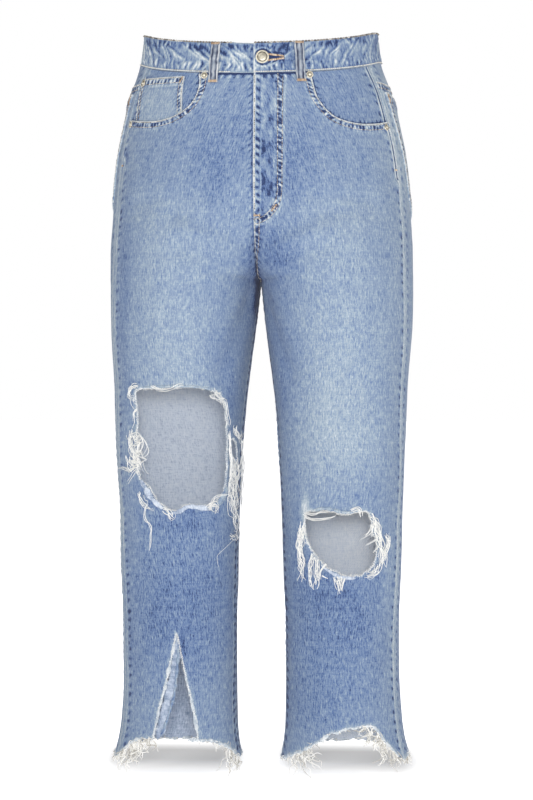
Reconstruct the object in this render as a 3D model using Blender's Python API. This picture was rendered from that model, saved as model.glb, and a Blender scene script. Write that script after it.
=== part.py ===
"""Ripped straight-leg jeans, filled out as they are when worn.

The garment faces -Y and +Z is up. The origin is at the middle of the waist, level with
the middle of the waistband at its sides, and +X is the wearer's left. Each piece is cut
from one skin, the surface that the filled jeans take. A place on the skin is given as it
is on a cutting pattern: how far it is forward of the outseam, and its height.
"""
import math

import bmesh
import bpy
import numpy as np
from mathutils import Vector
from mathutils.geometry import delaunay_2d_cdt

# Cloth, in metres
WALL = 0.0016                # a layer of denim
GAP = 0.0003                 # between two pieces that are sewn together
HALF_GAP = GAP / 2

# Levels
BAND_TOP = 0.0205            # top of the waistband at the back
BAND_HEIGHT = 0.0395
WAIST_TILT = 0.277           # the waist slopes down towards the front
WAIST_TILT_START = -0.020    # from here on, just in front of the sides
WAIST_TILT_EASE = 0.015      # after an easy turn of this reach
CROTCH_Z = -0.299
CROTCH_Y = 0.006
HEM_CORNER_Z = -0.918        # the hem's lowest points, at the seams
HEM_ARCH_BACK = 0.014        # the worn back hem rises this much between the seams
RISE_START_FRONT = -0.150    # the centre seams begin to turn under at these levels
RISE_START_BACK = -0.170
RISE_POWER = 2.2
ROUNDNESS = 0.56             # Bezier handle of a quarter turn; 0.5523 is a circle
FLATNESS = 0.4               # and that of a section where it crosses the centre seam

# The figure, wearer's-left half: one row for each level, with the places where its
# section is furthest out at the side, the front and the back.
#   z       x_side  y_side  x_front y_front  x_back y_back  seam_forward
FIGURE = (
    (-0.961, 0.2040, 0.008, 0.1060, -0.0780, 0.1060, 0.0920, 0.033),
    (-0.923, 0.1945, 0.008, 0.1060, -0.0770, 0.1060, 0.0890, 0.033),
    (-0.896, 0.1875, 0.008, 0.1060, -0.0750, 0.1060, 0.0860, 0.034),
    (-0.838, 0.1810, 0.008, 0.1060, -0.0740, 0.1060, 0.0850, 0.035),
    (-0.780, 0.1798, 0.008, 0.1050, -0.0750, 0.1050, 0.0860, 0.035),
    (-0.702, 0.1810, 0.004, 0.1050, -0.0790, 0.1050, 0.0850, 0.034),
    (-0.643, 0.1830, 0.000, 0.1050, -0.0840, 0.1050, 0.0800, 0.031),
    (-0.604, 0.1837, -0.002, 0.1050, -0.0870, 0.1050, 0.0770, 0.029),
    (-0.565, 0.1856, -0.001, 0.1045, -0.0900, 0.1045, 0.0790, 0.028),
    (-0.487, 0.1895, 0.000, 0.1040, -0.0970, 0.1040, 0.0870, 0.038),
    (-0.428, 0.1920, 0.002, 0.1020, -0.1030, 0.1020, 0.0930, 0.042),
    (-0.389, 0.1947, 0.004, 0.1010, -0.1070, 0.1010, 0.0970, 0.045),
    (-0.350, 0.1960, 0.006, 0.1000, -0.1110, 0.0990, 0.1020, 0.049),
    (-0.299, 0.1967, 0.008, 0.0960, -0.1150, 0.0950, 0.1110, 0.054),
    (-0.253, 0.1960, 0.010, 0.0850, -0.1170, 0.0900, 0.1250, 0.054),
    (-0.214, 0.1935, 0.011, 0.0680, -0.1170, 0.0840, 0.1340, 0.051),
    (-0.175, 0.1905, 0.010, 0.0480, -0.1160, 0.0780, 0.1380, 0.048),
    (-0.136, 0.1856, 0.008, 0.0300, -0.1140, 0.0700, 0.1350, 0.046),
    (-0.097, 0.1775, 0.006, 0.0180, -0.1110, 0.0560, 0.1250, 0.046),
    (-0.057, 0.1690, 0.003, 0.0100, -0.1070, 0.0360, 0.1130, 0.048),
    (-0.026, 0.1582, 0.001, 0.0060, -0.1030, 0.0180, 0.1040, 0.050),
    (0.020, 0.1515, 0.000, 0.0040, -0.0980, 0.0060, 0.0980, 0.050),
    (0.040, 0.1515, 0.000, 0.0040, -0.0980, 0.0060, 0.0980, 0.050),
)
X_SIDE, Y_SIDE, X_FRONT, Y_FRONT, X_BACK, Y_BACK, SEAM_FORWARD = range(1, 8)

# The inside of the leg: where it is furthest in, and how far forward of that its seam is.
#   z       x_in    y_in    seam_forward
INSIDE = (
    (-0.961, 0.0190, 0.008, 0.014),
    (-0.923, 0.0245, 0.008, 0.014),
    (-0.896, 0.0295, 0.008, 0.014),
    (-0.838, 0.0320, 0.008, 0.014),
    (-0.780, 0.0320, 0.008, 0.014),
    (-0.702, 0.0310, 0.004, 0.014),
    (-0.604, 0.0280, 0.000, 0.014),
    (-0.526, 0.0240, 0.002, 0.014),
    (-0.487, 0.0215, 0.004, 0.013),
    (-0.428, 0.0150, 0.006, 0.011),
    (-0.389, 0.0102, 0.006, 0.008),
    (-0.350, 0.0056, 0.006, 0.004),
    (-0.318, 0.0020, 0.006, 0.001),
    (CROTCH_Z, 0.0000, CROTCH_Y, 0.000),
)
X_IN, Y_IN, INSEAM_FORWARD = range(1, 4)

# The skin is worked out once on a fine grid
ROW_STEP = 0.002             # it has a row at the crotch
NUDGE = 1e-6
ACROSS_STEP = 0.002
ARC_STEPS = 24
OVERRUN = 0.060              # the skin goes on this far past the centre seams
ACROSS_BACK = -0.440
ACROSS_FRONT = 0.400


def column(table, index, z):
    """One column of a table at heights z, as a smooth curve through its rows."""
    levels = np.array([row[0] for row in table])
    values = np.array([row[index] for row in table])
    slopes = np.gradient(values, levels)
    low = np.clip(np.searchsorted(levels, z) - 1, 0, len(levels) - 2)
    span = levels[low + 1] - levels[low]
    t = np.clip((z - levels[low]) / span, 0.0, 1.0)
    rise = values[low + 1] - values[low]
    start, end = slopes[low] * span, slopes[low + 1] * span
    bend = 3 * rise - 2 * start - end + t * (start + end - 2 * rise)
    return values[low] + t * (start + t * bend)


def turn_under(z, start):
    """How far down the curve of a centre seam a level is: 0 where it starts, 1 at the crotch."""
    return np.clip((start - z) / (start - CROTCH_Z), 0.0, 1.0)


def smooth(t):
    t = np.clip(t, 0.0, 1.0)
    return t * t * (3 - 2 * t)


def quarter(start, start_handle, end_handle, end):
    t = np.linspace(0, 1, ARC_STEPS)[None, :, None]
    points = [corner[:, None, :] for corner in (start, start_handle, end_handle, end)]
    weights = ((1 - t) ** 3, 3 * t * (1 - t) ** 2, 3 * t * t * (1 - t), t ** 3)
    return sum(weight * point for weight, point in zip(weights, points))


def pair(x, y):
    return np.stack([x + 0 * y, y + 0 * x], axis=-1)


def inner_end(z, x_far, y_far, start):
    """The end of the half section, at the centre seam or the inseam, and its curve's handle."""
    under = turn_under(z, start)
    hang = (1 - under ** RISE_POWER) ** (1 / RISE_POWER)
    torso = z > CROTCH_Z + NUDGE
    x = np.where(torso, 0.0, column(INSIDE, X_IN, z))
    y = np.where(torso, CROTCH_Y + (y_far - CROTCH_Y) * hang, column(INSIDE, Y_IN, z))
    angle = math.pi / 2 * smooth(under)
    reach_x, reach_y = x_far - x, y_far - y
    handle = pair(x + FLATNESS * reach_x * np.cos(angle), y + ROUNDNESS * reach_y * np.sin(angle))
    return pair(x, y), handle


def half_sections(z):
    """The half section of the figure at each level: its points, and how far along each is."""
    x_side, y_side = column(FIGURE, X_SIDE, z), column(FIGURE, Y_SIDE, z)
    x_front, y_front = column(FIGURE, X_FRONT, z), column(FIGURE, Y_FRONT, z)
    x_back, y_back = column(FIGURE, X_BACK, z), column(FIGURE, Y_BACK, z)
    first, first_handle = inner_end(z, x_front, y_front, RISE_START_FRONT)
    last, last_handle = inner_end(z, x_back, y_back, RISE_START_BACK)
    front, side, back = pair(x_front, y_front), pair(x_side, y_side), pair(x_back, y_back)
    inner_front = quarter(
        first, first_handle, pair(x_front - ROUNDNESS * (x_front - first[:, 0]), y_front), front)
    outer_front = quarter(
        front, pair(x_front + ROUNDNESS * (x_side - x_front), y_front),
        pair(x_side, y_side + ROUNDNESS * (y_front - y_side)), side)
    outer_back = quarter(
        side, pair(x_side, y_side + ROUNDNESS * (y_back - y_side)),
        pair(x_back + ROUNDNESS * (x_side - x_back), y_back), back)
    inner_back = quarter(
        back, pair(x_back - ROUNDNESS * (x_back - last[:, 0]), y_back), last_handle, last)
    # Past its ends a torso section runs straight on, and a leg's goes round again
    torso = (z > CROTCH_Z + NUDGE)[:, None, None]
    way_in = first - inner_front[:, 1]
    way_out = last - inner_back[:, -2]
    steps = np.linspace(0, OVERRUN, ARC_STEPS)[None, :, None]
    unit_in = way_in / np.linalg.norm(way_in, axis=1, keepdims=True)
    unit_out = way_out / np.linalg.norm(way_out, axis=1, keepdims=True)
    before = np.where(torso, first[:, None] + steps[:, ::-1] * unit_in[:, None], inner_back)
    after = np.where(torso, last[:, None] + steps * unit_out[:, None], inner_front)
    points = np.concatenate(
        [before, inner_front[:, 1:], outer_front[:, 1:], outer_back[:, 1:], inner_back[:, 1:],
         after[:, 1:]], axis=1)
    along = np.zeros(points.shape[:2])
    along[:, 1:] = np.cumsum(np.linalg.norm(np.diff(points, axis=1), axis=2), axis=1)
    return points, along


class Skin:
    """The wearer's-left half of the surface, read by distance forward of the outseam and height."""

    def __init__(self):
        self.levels = np.round(np.arange(FIGURE[0][0], FIGURE[-1][0], ROW_STEP), 6)
        self.across = np.arange(ACROSS_BACK, ACROSS_FRONT, ACROSS_STEP)
        points, along = half_sections(self.levels)
        side = 3 * (ARC_STEPS - 1)
        first, last = ARC_STEPS - 1, 5 * (ARC_STEPS - 1)
        rows = range(len(self.levels))
        outseam = along[:, side] - column(FIGURE, SEAM_FORWARD, self.levels)
        torso = self.levels > CROTCH_Z + NUDGE
        inseam = np.where(torso, 0.0, column(INSIDE, INSEAM_FORWARD, self.levels))
        self.front_width = outseam - along[:, first] - inseam
        self.back_width = along[:, last] + inseam - outseam
        self.grid = np.array([
            [np.interp(outseam[row] - self.across, along[row], points[row, :, axis])
             for axis in (0, 1)] for row in rows])

    def width(self, part, z):
        """How far the front or the back reaches from the outseam at height z."""
        widths = self.front_width if part == "front" else self.back_width
        return np.interp(z, self.levels, widths)

    def point(self, across, z):
        across, z = np.asarray(across, float), np.asarray(z, float)
        row = np.clip((z - self.levels[0]) / ROW_STEP, 0, len(self.levels) - 1.001)
        place = np.clip((across - self.across[0]) / ACROSS_STEP, 0, len(self.across) - 1.001)
        low_row, low_place = row.astype(int), place.astype(int)
        up, over = (row - low_row)[..., None], (place - low_place)[..., None]
        near, far = (self.grid[level, :, low_place] * (1 - over)
                     + self.grid[level, :, low_place + 1] * over
                     for level in (low_row, low_row + 1))
        flat = near * (1 - up) + far * up
        return np.concatenate([flat, z[..., None]], axis=-1)

    def normal(self, across, z, reach=0.004):
        over = self.point(across + reach, z) - self.point(across - reach, z)
        up = self.point(across, z + reach) - self.point(across, z - reach)
        out = np.cross(up, over)
        return out / np.linalg.norm(out, axis=-1, keepdims=True)


SKIN = Skin()


# Patterns. Each place is how far forward of the outseam it is, and its height.
WAIST_STEPS_FRONT = 8
WAIST_STEPS_BACK = 11
STATION_CLEAR = 0.03         # even corners stop this fraction short of the named ones
FILL_ACROSS = 0.024          # spacing of the faces of a panel
FILL_UP = 0.034
FILL_ROW = 0.866             # rows of even triangles are this fraction of a side apart
FILL_CLEAR = 0.55            # of a spacing, between a filling place and a drawn one
BEYOND = 0.05                # outlines of regions run this far past the panel
LEVEL_STEP = 0.030
LEVEL_CLEAR = 0.004
CROTCH_LEVELS = (0.060, 0.036, 0.020, 0.010, 0.004, 0.001, 0.0, -0.012)

KNEE_HOLE_RIGHT = (
    (0.058, -0.442), (0.092, -0.440), (0.130, -0.438), (0.162, -0.443), (0.179, -0.456),
    (0.185, -0.490), (0.186, -0.532), (0.183, -0.562), (0.170, -0.580), (0.144, -0.590),
    (0.120, -0.588), (0.108, -0.596), (0.088, -0.588), (0.074, -0.564), (0.060, -0.555),
    (0.055, -0.510), (0.056, -0.470),
)
KNEE_HOLE_LEFT = (
    (0.144, -0.600), (0.124, -0.594), (0.092, -0.599), (0.062, -0.597), (0.052, -0.620),
    (0.044, -0.638), (0.045, -0.660), (0.055, -0.673), (0.078, -0.678), (0.106, -0.668),
    (0.130, -0.646), (0.143, -0.624),
)
SLIT_AT_HEM = (4, 7)         # the corners of the slit where it meets the hem
SLIT_CLEAR = 0.02            # the hem's even corners stop this fraction short of it
HEM_SLIT_RIGHT = (
    (0.093, -0.752), (0.087, -0.780), (0.079, -0.815), (0.071, -0.848), (0.066, -0.890),
    (0.065, -0.950), (0.131, -0.950), (0.127, -0.892), (0.115, -0.848), (0.105, -0.812),
    (0.099, -0.780),
)
# The worn edge of each front hem, by fraction of the way from the outseam to the inseam
#   place   left    right
HEM_FRONT = (
    (0.00, -0.918, -0.918),
    (0.12, -0.897, -0.899),
    (0.24, -0.869, -0.889),
    (0.33, -0.871, -0.887),
    (0.50, -0.879, -0.888),
    (0.65, -0.897, -0.890),
    (0.78, -0.908, -0.896),
    (0.90, -0.915, -0.906),
    (1.00, -0.918, -0.918),
)
HEM_COLUMN = {"left": 1, "right": 2}
HEM_STEPS = 12
FRINGE_SHORT = 0.010         # the fringe of each hem, between the seams
FRINGE_LONG = 0.024          # and at them
FRINGE_SPREAD = 0.16         # fraction of the width over which it is long
FRINGE_WALL = 0.0012

# Front pockets
POCKET_MOUTH = {
    "left": (
        (HALF_GAP, -0.0980), (0.026, -0.1025), (0.052, -0.1042), (0.070, -0.1020),
        (0.085, -0.0970), (0.094, -0.0880), (0.0995, -0.0760), (0.1005, -0.0660),
        (0.098, -0.0530),
    ),
    "right": (
        (HALF_GAP, -0.0935), (0.025, -0.0965), (0.050, -0.0985), (0.068, -0.0980),
        (0.085, -0.0940), (0.097, -0.0870), (0.104, -0.0790), (0.1065, -0.0670),
        (0.104, -0.0540),
    ),
}
MOUTH_STEPS = 2              # corners from one of these places to the next
POCKET_FRACTION = 0.567      # where the mouth meets the waistband, of the front's width
FACING_FRACTION = 0.680      # the facing goes this far, and a little below the mouth
FACING_EDGE = (
    (HALF_GAP, -0.118), (0.034, -0.1200), (0.070, -0.1170), (0.096, -0.107), (0.111, -0.088),
    (0.1150, -0.066),
)
COIN_POCKET_TOP = ((0.002, -0.0415), (0.077, -0.0430))
COIN_POCKET_FOOT = (0.016, 0.096)
COIN_CLEAR = 0.0008          # its foot stops this far inside the mouth

# Fly: a facing whose edge follows the curved row of stitching
FLY_WIDTH = 0.037
FLY_TURN_Z = -0.190
FLY_FOOT_Z = -0.232
FLY_STEPS = 5                # corners down its straight and as many round its curve

# Yoke and back pockets
YOKE_SIDE_Z = -0.047
YOKE_CENTRE_Z = -0.088
YOKE_BEND = 1.7              # its seam runs level at the side and dips towards the centre
BACK_POCKET = (
    (-0.011, -0.060), (-0.090, -0.0755), (-0.168, -0.089), (-0.172, -0.148), (-0.168, -0.208),
    (-0.103, -0.234), (-0.034, -0.196), (-0.023, -0.128),
)
BACK_HEM_ARCH_POWER = 0.7

# Waistband
BAND_OUT = 0.0006            # it stands proud of the panels
BAND_WALL = 0.0030
LAP_LENGTH = 0.036           # its wearer's-right end goes this far under the other
LAP_RAMP = 0.030
LAP_STEPS = 3

# Belt loops
LOOP_WIDTH = 0.012
LOOP_WALL = 0.0016
#   height above the waistband's seam, how far out its inner face stands
LOOP_PROFILE = (
    (-0.0130, 0.0013),
    (-0.0060, 0.0016),
    (0.0030, 0.0026),
    (0.0195, 0.0036),
    (0.0335, 0.0026),
    (0.0387, 0.0016),
)
LOOPS = (
    # name, wearer's side, part, how far from its centre seam, how much it leans
    ("belt_loop_front_left", "left", "front", 0.0592, 0.07),
    ("belt_loop_front_right", "right", "front", 0.0506, 0.07),
    ("belt_loop_side_left", "left", "back", 0.1600, 0.0),
    ("belt_loop_side_right", "right", "back", 0.1600, 0.0),
)

# Metal
BUTTON_FROM_CENTRE = 0.011
#   radius, height above the cloth
BUTTON_PROFILE = (
    (0.0060, 0.0000), (0.0072, 0.0004), (0.0085, 0.0012), (0.0085, 0.0020), (0.0076, 0.0030),
    (0.0066, 0.0031), (0.0058, 0.0024), (0.0030, 0.0022),
)
RIVET_PROFILE = (
    (0.0040, 0.0000), (0.0045, 0.0005), (0.0042, 0.0011), (0.0028, 0.0014), (0.0022, 0.0022),
    (0.0010, 0.0024),
)
METAL_CLEAR = 0.0005
ROUND_STEPS = 24
RIVETS = (
    # wearer's side, measured from, how far, height
    ("left", "centre", 0.0712, -0.0435),
    ("right", "centre", 0.0635, -0.0435),
    ("left", "outseam", 0.0080, -0.1060),
    ("right", "outseam", 0.0054, -0.0995),
    ("right", "outseam", 0.0080, -0.0475),
)

# The largest folds: soft ridges and troughs between two places, the same on both legs
#   across  z       across  z       breadth height
FOLDS = (
    (0.215, -0.262, 0.120, -0.218, 0.016, -0.0040),
    (0.230, -0.285, 0.130, -0.262, 0.014, -0.0030),
    (0.225, -0.275, 0.135, -0.238, 0.012, 0.0025),
    (0.240, -0.330, 0.180, -0.420, 0.016, -0.0035),
    (0.060, -0.205, 0.140, -0.196, 0.018, -0.0020),
    (0.050, -0.690, 0.150, -0.712, 0.018, -0.0025),
    (0.060, -0.800, 0.160, -0.780, 0.020, 0.0020),
    (-0.280, -0.290, -0.120, -0.262, 0.016, -0.0045),
    (-0.290, -0.320, -0.110, -0.306, 0.014, -0.0035),
    (-0.290, -0.306, -0.130, -0.285, 0.012, 0.0030),
    (-0.250, -0.560, -0.080, -0.590, 0.016, -0.0040),
    (-0.240, -0.600, -0.070, -0.618, 0.014, -0.0035),
    (-0.230, -0.640, -0.090, -0.632, 0.014, 0.0030),
    (-0.220, -0.760, -0.090, -0.740, 0.020, -0.0025),
)
FOLD_FREE_EDGE = 0.030       # folds die away this close to the centre seams and the inseam

DENIM = (0.23, 0.33, 0.52, 1.0)
DENIM_LIGHT = (0.36, 0.46, 0.62, 1.0)
CREAM = (0.70, 0.68, 0.60, 1.0)
BRASS = (0.62, 0.55, 0.43, 1.0)


def across_at(part, fraction, z):
    """Forward of the outseam, for a fraction of the front's or the back's width at height z."""
    sign = 1 if part == "front" else -1
    return sign * fraction * float(SKIN.width(part, z))


def waist_seam(part, fraction):
    """Height of the waistband's seam, by fraction of the way from the outseam to the centre."""
    y = float(SKIN.point(across_at(part, fraction, 0.0), 0.0)[1]) - WAIST_TILT_START
    return BAND_TOP - BAND_HEIGHT - WAIST_TILT * (math.hypot(y, WAIST_TILT_EASE) - y) / 2


def fold_height(across, z):
    height = np.zeros_like(across)
    for start, start_z, end, end_z, breadth, peak in FOLDS:
        run, climb = end - start, end_z - start_z
        along = ((across - start) * run + (z - start_z) * climb) / (run ** 2 + climb ** 2)
        along = np.clip(along, 0, 1)
        off = np.hypot(across - start - along * run, z - start_z - along * climb)
        height = height + peak * np.exp(-((off / breadth) ** 2))
    to_front = SKIN.width("front", z) - across
    to_back = SKIN.width("back", z) + across
    return height * smooth(np.minimum(to_front, to_back) / FOLD_FREE_EDGE)


def place(side, across, z, out):
    """Points of the cloth, moved out from the skin, on the wearer's left or right."""
    across, z = np.asarray(across, float), np.asarray(z, float)
    lift = fold_height(across, z) + out
    points = SKIN.point(across, z) + SKIN.normal(across, z) * lift[..., None]
    points[..., 0] = np.maximum(points[..., 0], HALF_GAP)
    if side == "right":
        points[..., 0] *= -1
    return points


def spot(side, across, z, out):
    """One such point."""
    return place(side, np.array([across]), np.array([z]), np.array([out]))[0]


def material(name, colour, roughness, metallic=0.0):
    made = bpy.data.materials.new(name)
    made.use_nodes = True
    shader = made.node_tree.nodes["Principled BSDF"]
    shader.inputs["Base Color"].default_value = colour
    shader.inputs["Roughness"].default_value = roughness
    shader.inputs["Metallic"].default_value = metallic
    return made


def add_object(name, mesh_maker, finish):
    """Make a named object from a bmesh, facing out."""
    bmesh.ops.recalc_face_normals(mesh_maker, faces=mesh_maker.faces)
    mesh = bpy.data.meshes.new(name)
    mesh_maker.to_mesh(mesh)
    mesh_maker.free()
    mesh.materials.append(finish)
    mesh.shade_smooth()
    mesh.set_sharp_from_angle(angle=math.radians(40))
    made = bpy.data.objects.new(name, mesh)
    bpy.context.scene.collection.objects.link(made)
    return made


def inside(polygon, x, y):
    odd = False
    for (x1, y1), (x2, y2) in zip(polygon, polygon[1:] + polygon[:1]):
        if (y1 > y) != (y2 > y) and x < x1 + (y - y1) * (x2 - x1) / (y2 - y1):
            odd = not odd
    return odd


def curve_through(points, steps):
    """A smooth line through a few places, ending at the first and the last of them."""
    ends = [points[0]] + list(points) + [points[-1]]
    line = []
    for before, start, end, after in zip(ends, ends[1:], ends[2:], ends[3:]):
        for step in range(steps):
            t = step / steps
            line.append(tuple(
                0.5 * (2 * b + (c - a) * t + (2 * a - 5 * b + 4 * c - d) * t * t
                       + (3 * b - a - 3 * c + d) * t ** 3)
                for a, b, c, d in zip(before, start, end, after)))
    return line + [tuple(points[-1])]


class Pattern:
    """A cut panel divided into triangles that follow its edge and the lines drawn on it."""

    def __init__(self, edge, lines=()):
        self.edge = list(edge)
        points, joins = [], []
        for line, closed in [(self.edge, True)] + list(lines):
            first = len(points)
            points += line
            joins += [(first + i, first + i + 1) for i in range(len(line) - 1)]
            if closed:
                joins.append((len(points) - 1, first))
        points = self.with_fill(points)
        squash = FILL_ACROSS / FILL_UP
        flat = [Vector((across, z * squash)) for across, z in points]
        corners, _, faces, *_ = delaunay_2d_cdt(flat, joins, [], 0, 1e-7)
        self.points = [(corner.x, corner.y / squash) for corner in corners]
        self.faces = [face for face in faces if inside(self.edge, *self.middle(face))]

    def with_fill(self, points):
        """Add evenly spaced places within the edge, clear of the places given."""
        drawn = np.array(points)
        low, high = drawn.min(axis=0), drawn.max(axis=0)
        filled = list(points)
        row_step = FILL_UP * FILL_ROW
        for row in range(1, int((high[1] - low[1]) / row_step)):
            z = low[1] + row * row_step
            shift = FILL_ACROSS / 2 * (row % 2)
            for across in np.arange(low[0] + shift, high[0], FILL_ACROSS):
                off = (drawn - (across, z)) / (FILL_ACROSS, FILL_UP)
                if np.hypot(*off.T).min() > FILL_CLEAR and inside(self.edge, across, z):
                    filled.append((float(across), float(z)))
        return filled

    def middle(self, face):
        return tuple(sum(self.points[i][axis] for i in face) / 3 for axis in (0, 1))

    def within(self, keep=(), leave=()):
        """The faces inside every outline in keep and outside those in leave."""
        return [face for face in self.faces
                if all(inside(outline, *self.middle(face)) for outline in keep)
                and not any(inside(outline, *self.middle(face)) for outline in leave)]


def cloth(name, side, pattern, faces, outer, inner, finish):
    """A piece of cloth: the faces of a pattern on the skin, with a wall between two depths."""
    used = sorted({corner for face in faces for corner in face})
    order = {corner: i for i, corner in enumerate(used)}
    across = np.array([pattern.points[corner][0] for corner in used])
    z = np.array([pattern.points[corner][1] for corner in used])
    maker = bmesh.new()
    top = [maker.verts.new(point) for point in place(side, across, z, outer)]
    under = [maker.verts.new(point) for point in place(side, across, z, inner)]
    rim = {}
    for face in faces:
        a, b, c = (order[corner] for corner in face)
        maker.faces.new((top[a], top[b], top[c]))
        maker.faces.new((under[c], under[b], under[a]))
        for edge in ((a, b), (b, c), (c, a)):
            if edge[::-1] in rim:
                del rim[edge[::-1]]
            else:
                rim[edge] = True
    for a, b in rim:
        maker.faces.new((top[b], top[a], under[a]))
        maker.faces.new((top[b], under[a], under[b]))
    return add_object(name, maker, finish)


def waist_stations(part):
    """Fractions of the width where the waist seam has its corners, on panels and band alike."""
    if part == "back":
        return [i / WAIST_STEPS_BACK for i in range(WAIST_STEPS_BACK + 1)]
    fly = 1 - FLY_WIDTH / float(SKIN.width("front", waist_seam("front", 1)))
    even = [i / WAIST_STEPS_FRONT for i in range(WAIST_STEPS_FRONT + 1)]
    breaks = (POCKET_FRACTION, FACING_FRACTION, fly)
    kept = [f for f in even if f in (0, 1) or min(abs(f - b) for b in breaks) > STATION_CLEAR]
    return sorted(kept + list(breaks))


def levels_between(top, bottom):
    """Levels of an edge from top to bottom, the same on both sides of a seam."""
    near_crotch = [CROTCH_Z + rise for rise in CROTCH_LEVELS]
    below = np.arange(near_crotch[-1], HEM_CORNER_Z, -LEVEL_STEP)[1:]
    over = np.arange(near_crotch[0], 0.0, LEVEL_STEP)[1:]
    every = sorted([YOKE_SIDE_Z, *over, *near_crotch, *below], reverse=True)
    between = [float(z) for z in every if bottom + LEVEL_CLEAR < z < top - LEVEL_CLEAR]
    return [top, *between, bottom]


def hem(part, side, fraction):
    if part == "back":
        return HEM_CORNER_Z + HEM_ARCH_BACK * math.sin(math.pi * fraction) ** BACK_HEM_ARCH_POWER
    return float(column(HEM_FRONT, HEM_COLUMN[side], np.array([fraction]))[0])


def panel_edge(part, side, top):
    """The outline of a front or a back, from the places of its upper edge down."""
    sign = 1 if part == "front" else -1
    edge = list(top)
    bottom = hem(part, side, 1.0)
    for z in levels_between(top[-1][1], bottom)[1:]:
        edge.append((across_at(part, 1.0, z) - sign * HALF_GAP, z))
    for step in range(1, HEM_STEPS):
        fraction = 1 - step / HEM_STEPS
        z = hem(part, side, fraction)
        edge.append((across_at(part, fraction, z), z))
    for z in reversed(levels_between(top[0][1], hem(part, side, 0.0))[1:]):
        edge.append((sign * HALF_GAP, z))
    return edge


def waist_edge(part):
    """The upper edge of a front or a yoke, from the outseam to the centre."""
    sign = 1 if part == "front" else -1
    edge = []
    for fraction in waist_stations(part):
        z = waist_seam(part, fraction) - HALF_GAP
        reach = float(SKIN.width(part, z)) - HALF_GAP
        edge.append((sign * (HALF_GAP + fraction * (reach - HALF_GAP)), z))
    return edge


def seam_place(part, fraction):
    """The corner of the waist edge that stands at a fraction of its width."""
    return waist_edge(part)[waist_stations(part).index(fraction)]


def to_waist(places, fraction):
    """A line that ends at the corner of the waist edge at a fraction of the front's width."""
    return curve_through(places + (seam_place("front", fraction),), MOUTH_STEPS)


def above(line):
    """The region between a line across the front and beyond its upper outer corner."""
    return list(line) + [(line[-1][0], BEYOND), (-BEYOND, BEYOND), (-BEYOND, line[0][1])]


def coin_outline(mouth):
    """The coin pocket: a straight top, slanting sides and a foot along the pocket's mouth."""
    low, high = COIN_POCKET_FOOT
    foot = [(across - COIN_CLEAR * across / high, z + COIN_CLEAR) for across, z in mouth
            if low <= across <= high and z < COIN_POCKET_TOP[0][1]]
    return list(COIN_POCKET_TOP) + foot[::-1]


def fly_line():
    """The curved edge of the fly facing, from the waist seam to the centre front."""
    fraction = waist_stations("front")[-2]
    line = [seam_place("front", fraction)]
    for z in np.linspace(line[0][1], FLY_TURN_Z, FLY_STEPS + 1)[1:]:
        line.append((float(SKIN.width("front", z)) - FLY_WIDTH, float(z)))
    for step in range(1, FLY_STEPS + 1):
        angle = math.pi / 2 * step / FLY_STEPS
        z = FLY_TURN_Z + (FLY_FOOT_Z - FLY_TURN_Z) * math.sin(angle)
        line.append((float(SKIN.width("front", z)) - HALF_GAP - FLY_WIDTH * math.cos(angle), z))
    return line


def front(side, denim):
    """One front, its pocket facing and, on their own sides, the fly facing and coin pocket."""
    mouth = to_waist(POCKET_MOUTH[side], POCKET_FRACTION)
    facing = to_waist(FACING_EDGE, FACING_FRACTION)
    lines = [(mouth, False), (facing, False)]
    if side == "left":
        gaps = [list(KNEE_HOLE_LEFT)]
        fly = fly_line()
        lines.append((fly, False))
    else:
        gaps = [list(KNEE_HOLE_RIGHT), list(HEM_SLIT_RIGHT)]
        coin = coin_outline(mouth)
        lines.append((coin, True))
    lines += [(gap, True) for gap in gaps]
    pattern = Pattern(panel_edge("front", side, waist_edge("front")), lines)
    faces = pattern.within(leave=gaps + [above(mouth)])
    cloth(f"front_{side}", side, pattern, faces, 0.0, -WALL, denim)
    behind = -(WALL + GAP)
    cloth(f"pocket_facing_{side}", side, pattern, pattern.within(keep=[above(facing)]),
          behind, behind - WALL, denim)
    if side == "left":
        past = fly[-1][0] + BEYOND
        beyond = fly + [(past, fly[-1][1]), (past, BEYOND), (fly[0][0], BEYOND)]
        cloth("fly", side, pattern, pattern.within(keep=[beyond]), behind, behind - WALL, denim)
    else:
        cloth("coin_pocket", side, pattern, pattern.within(keep=[coin]), 0.0, -WALL, denim)


def yoke_seam(offset):
    """Places along the yoke's lower seam, from the outseam to the centre back."""
    line = []
    for fraction in waist_stations("back"):
        z = YOKE_SIDE_Z + (YOKE_CENTRE_Z - YOKE_SIDE_Z) * fraction ** YOKE_BEND + offset
        reach = float(SKIN.width("back", z)) - HALF_GAP
        line.append((-(HALF_GAP + fraction * (reach - HALF_GAP)), z))
    return line


def back(side, denim):
    """One back with its yoke and patch pocket."""
    yoke_edge = waist_edge("back") + yoke_seam(HALF_GAP)[::-1]
    yoke = Pattern(yoke_edge)
    cloth(f"yoke_{side}", side, yoke, yoke.faces, 0.0, -WALL, denim)
    pocket = list(BACK_POCKET)
    pattern = Pattern(panel_edge("back", side, yoke_seam(-HALF_GAP)), [(pocket, True)])
    cloth(f"back_{side}", side, pattern, pattern.faces, 0.0, -WALL, denim)
    cloth(f"back_pocket_{side}", side, pattern, pattern.within(keep=[pocket]),
          GAP + WALL, GAP, denim)


def swept(name, sections, finish, closed=False):
    """A strip through a row of sections, each a loop of the same number of corners."""
    maker = bmesh.new()
    rings = [[maker.verts.new(point) for point in section] for section in sections]
    for near, far in zip(rings, rings[1:] + rings[:1] if closed else rings[1:]):
        for i in range(len(near)):
            j = (i + 1) % len(near)
            maker.faces.new((near[i], near[j], far[j], far[i]))
    if not closed:
        maker.faces.new(rings[0])
        maker.faces.new(rings[-1][::-1])
    bmesh.ops.triangulate(maker, faces=maker.faces)
    return add_object(name, maker, finish)


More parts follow.
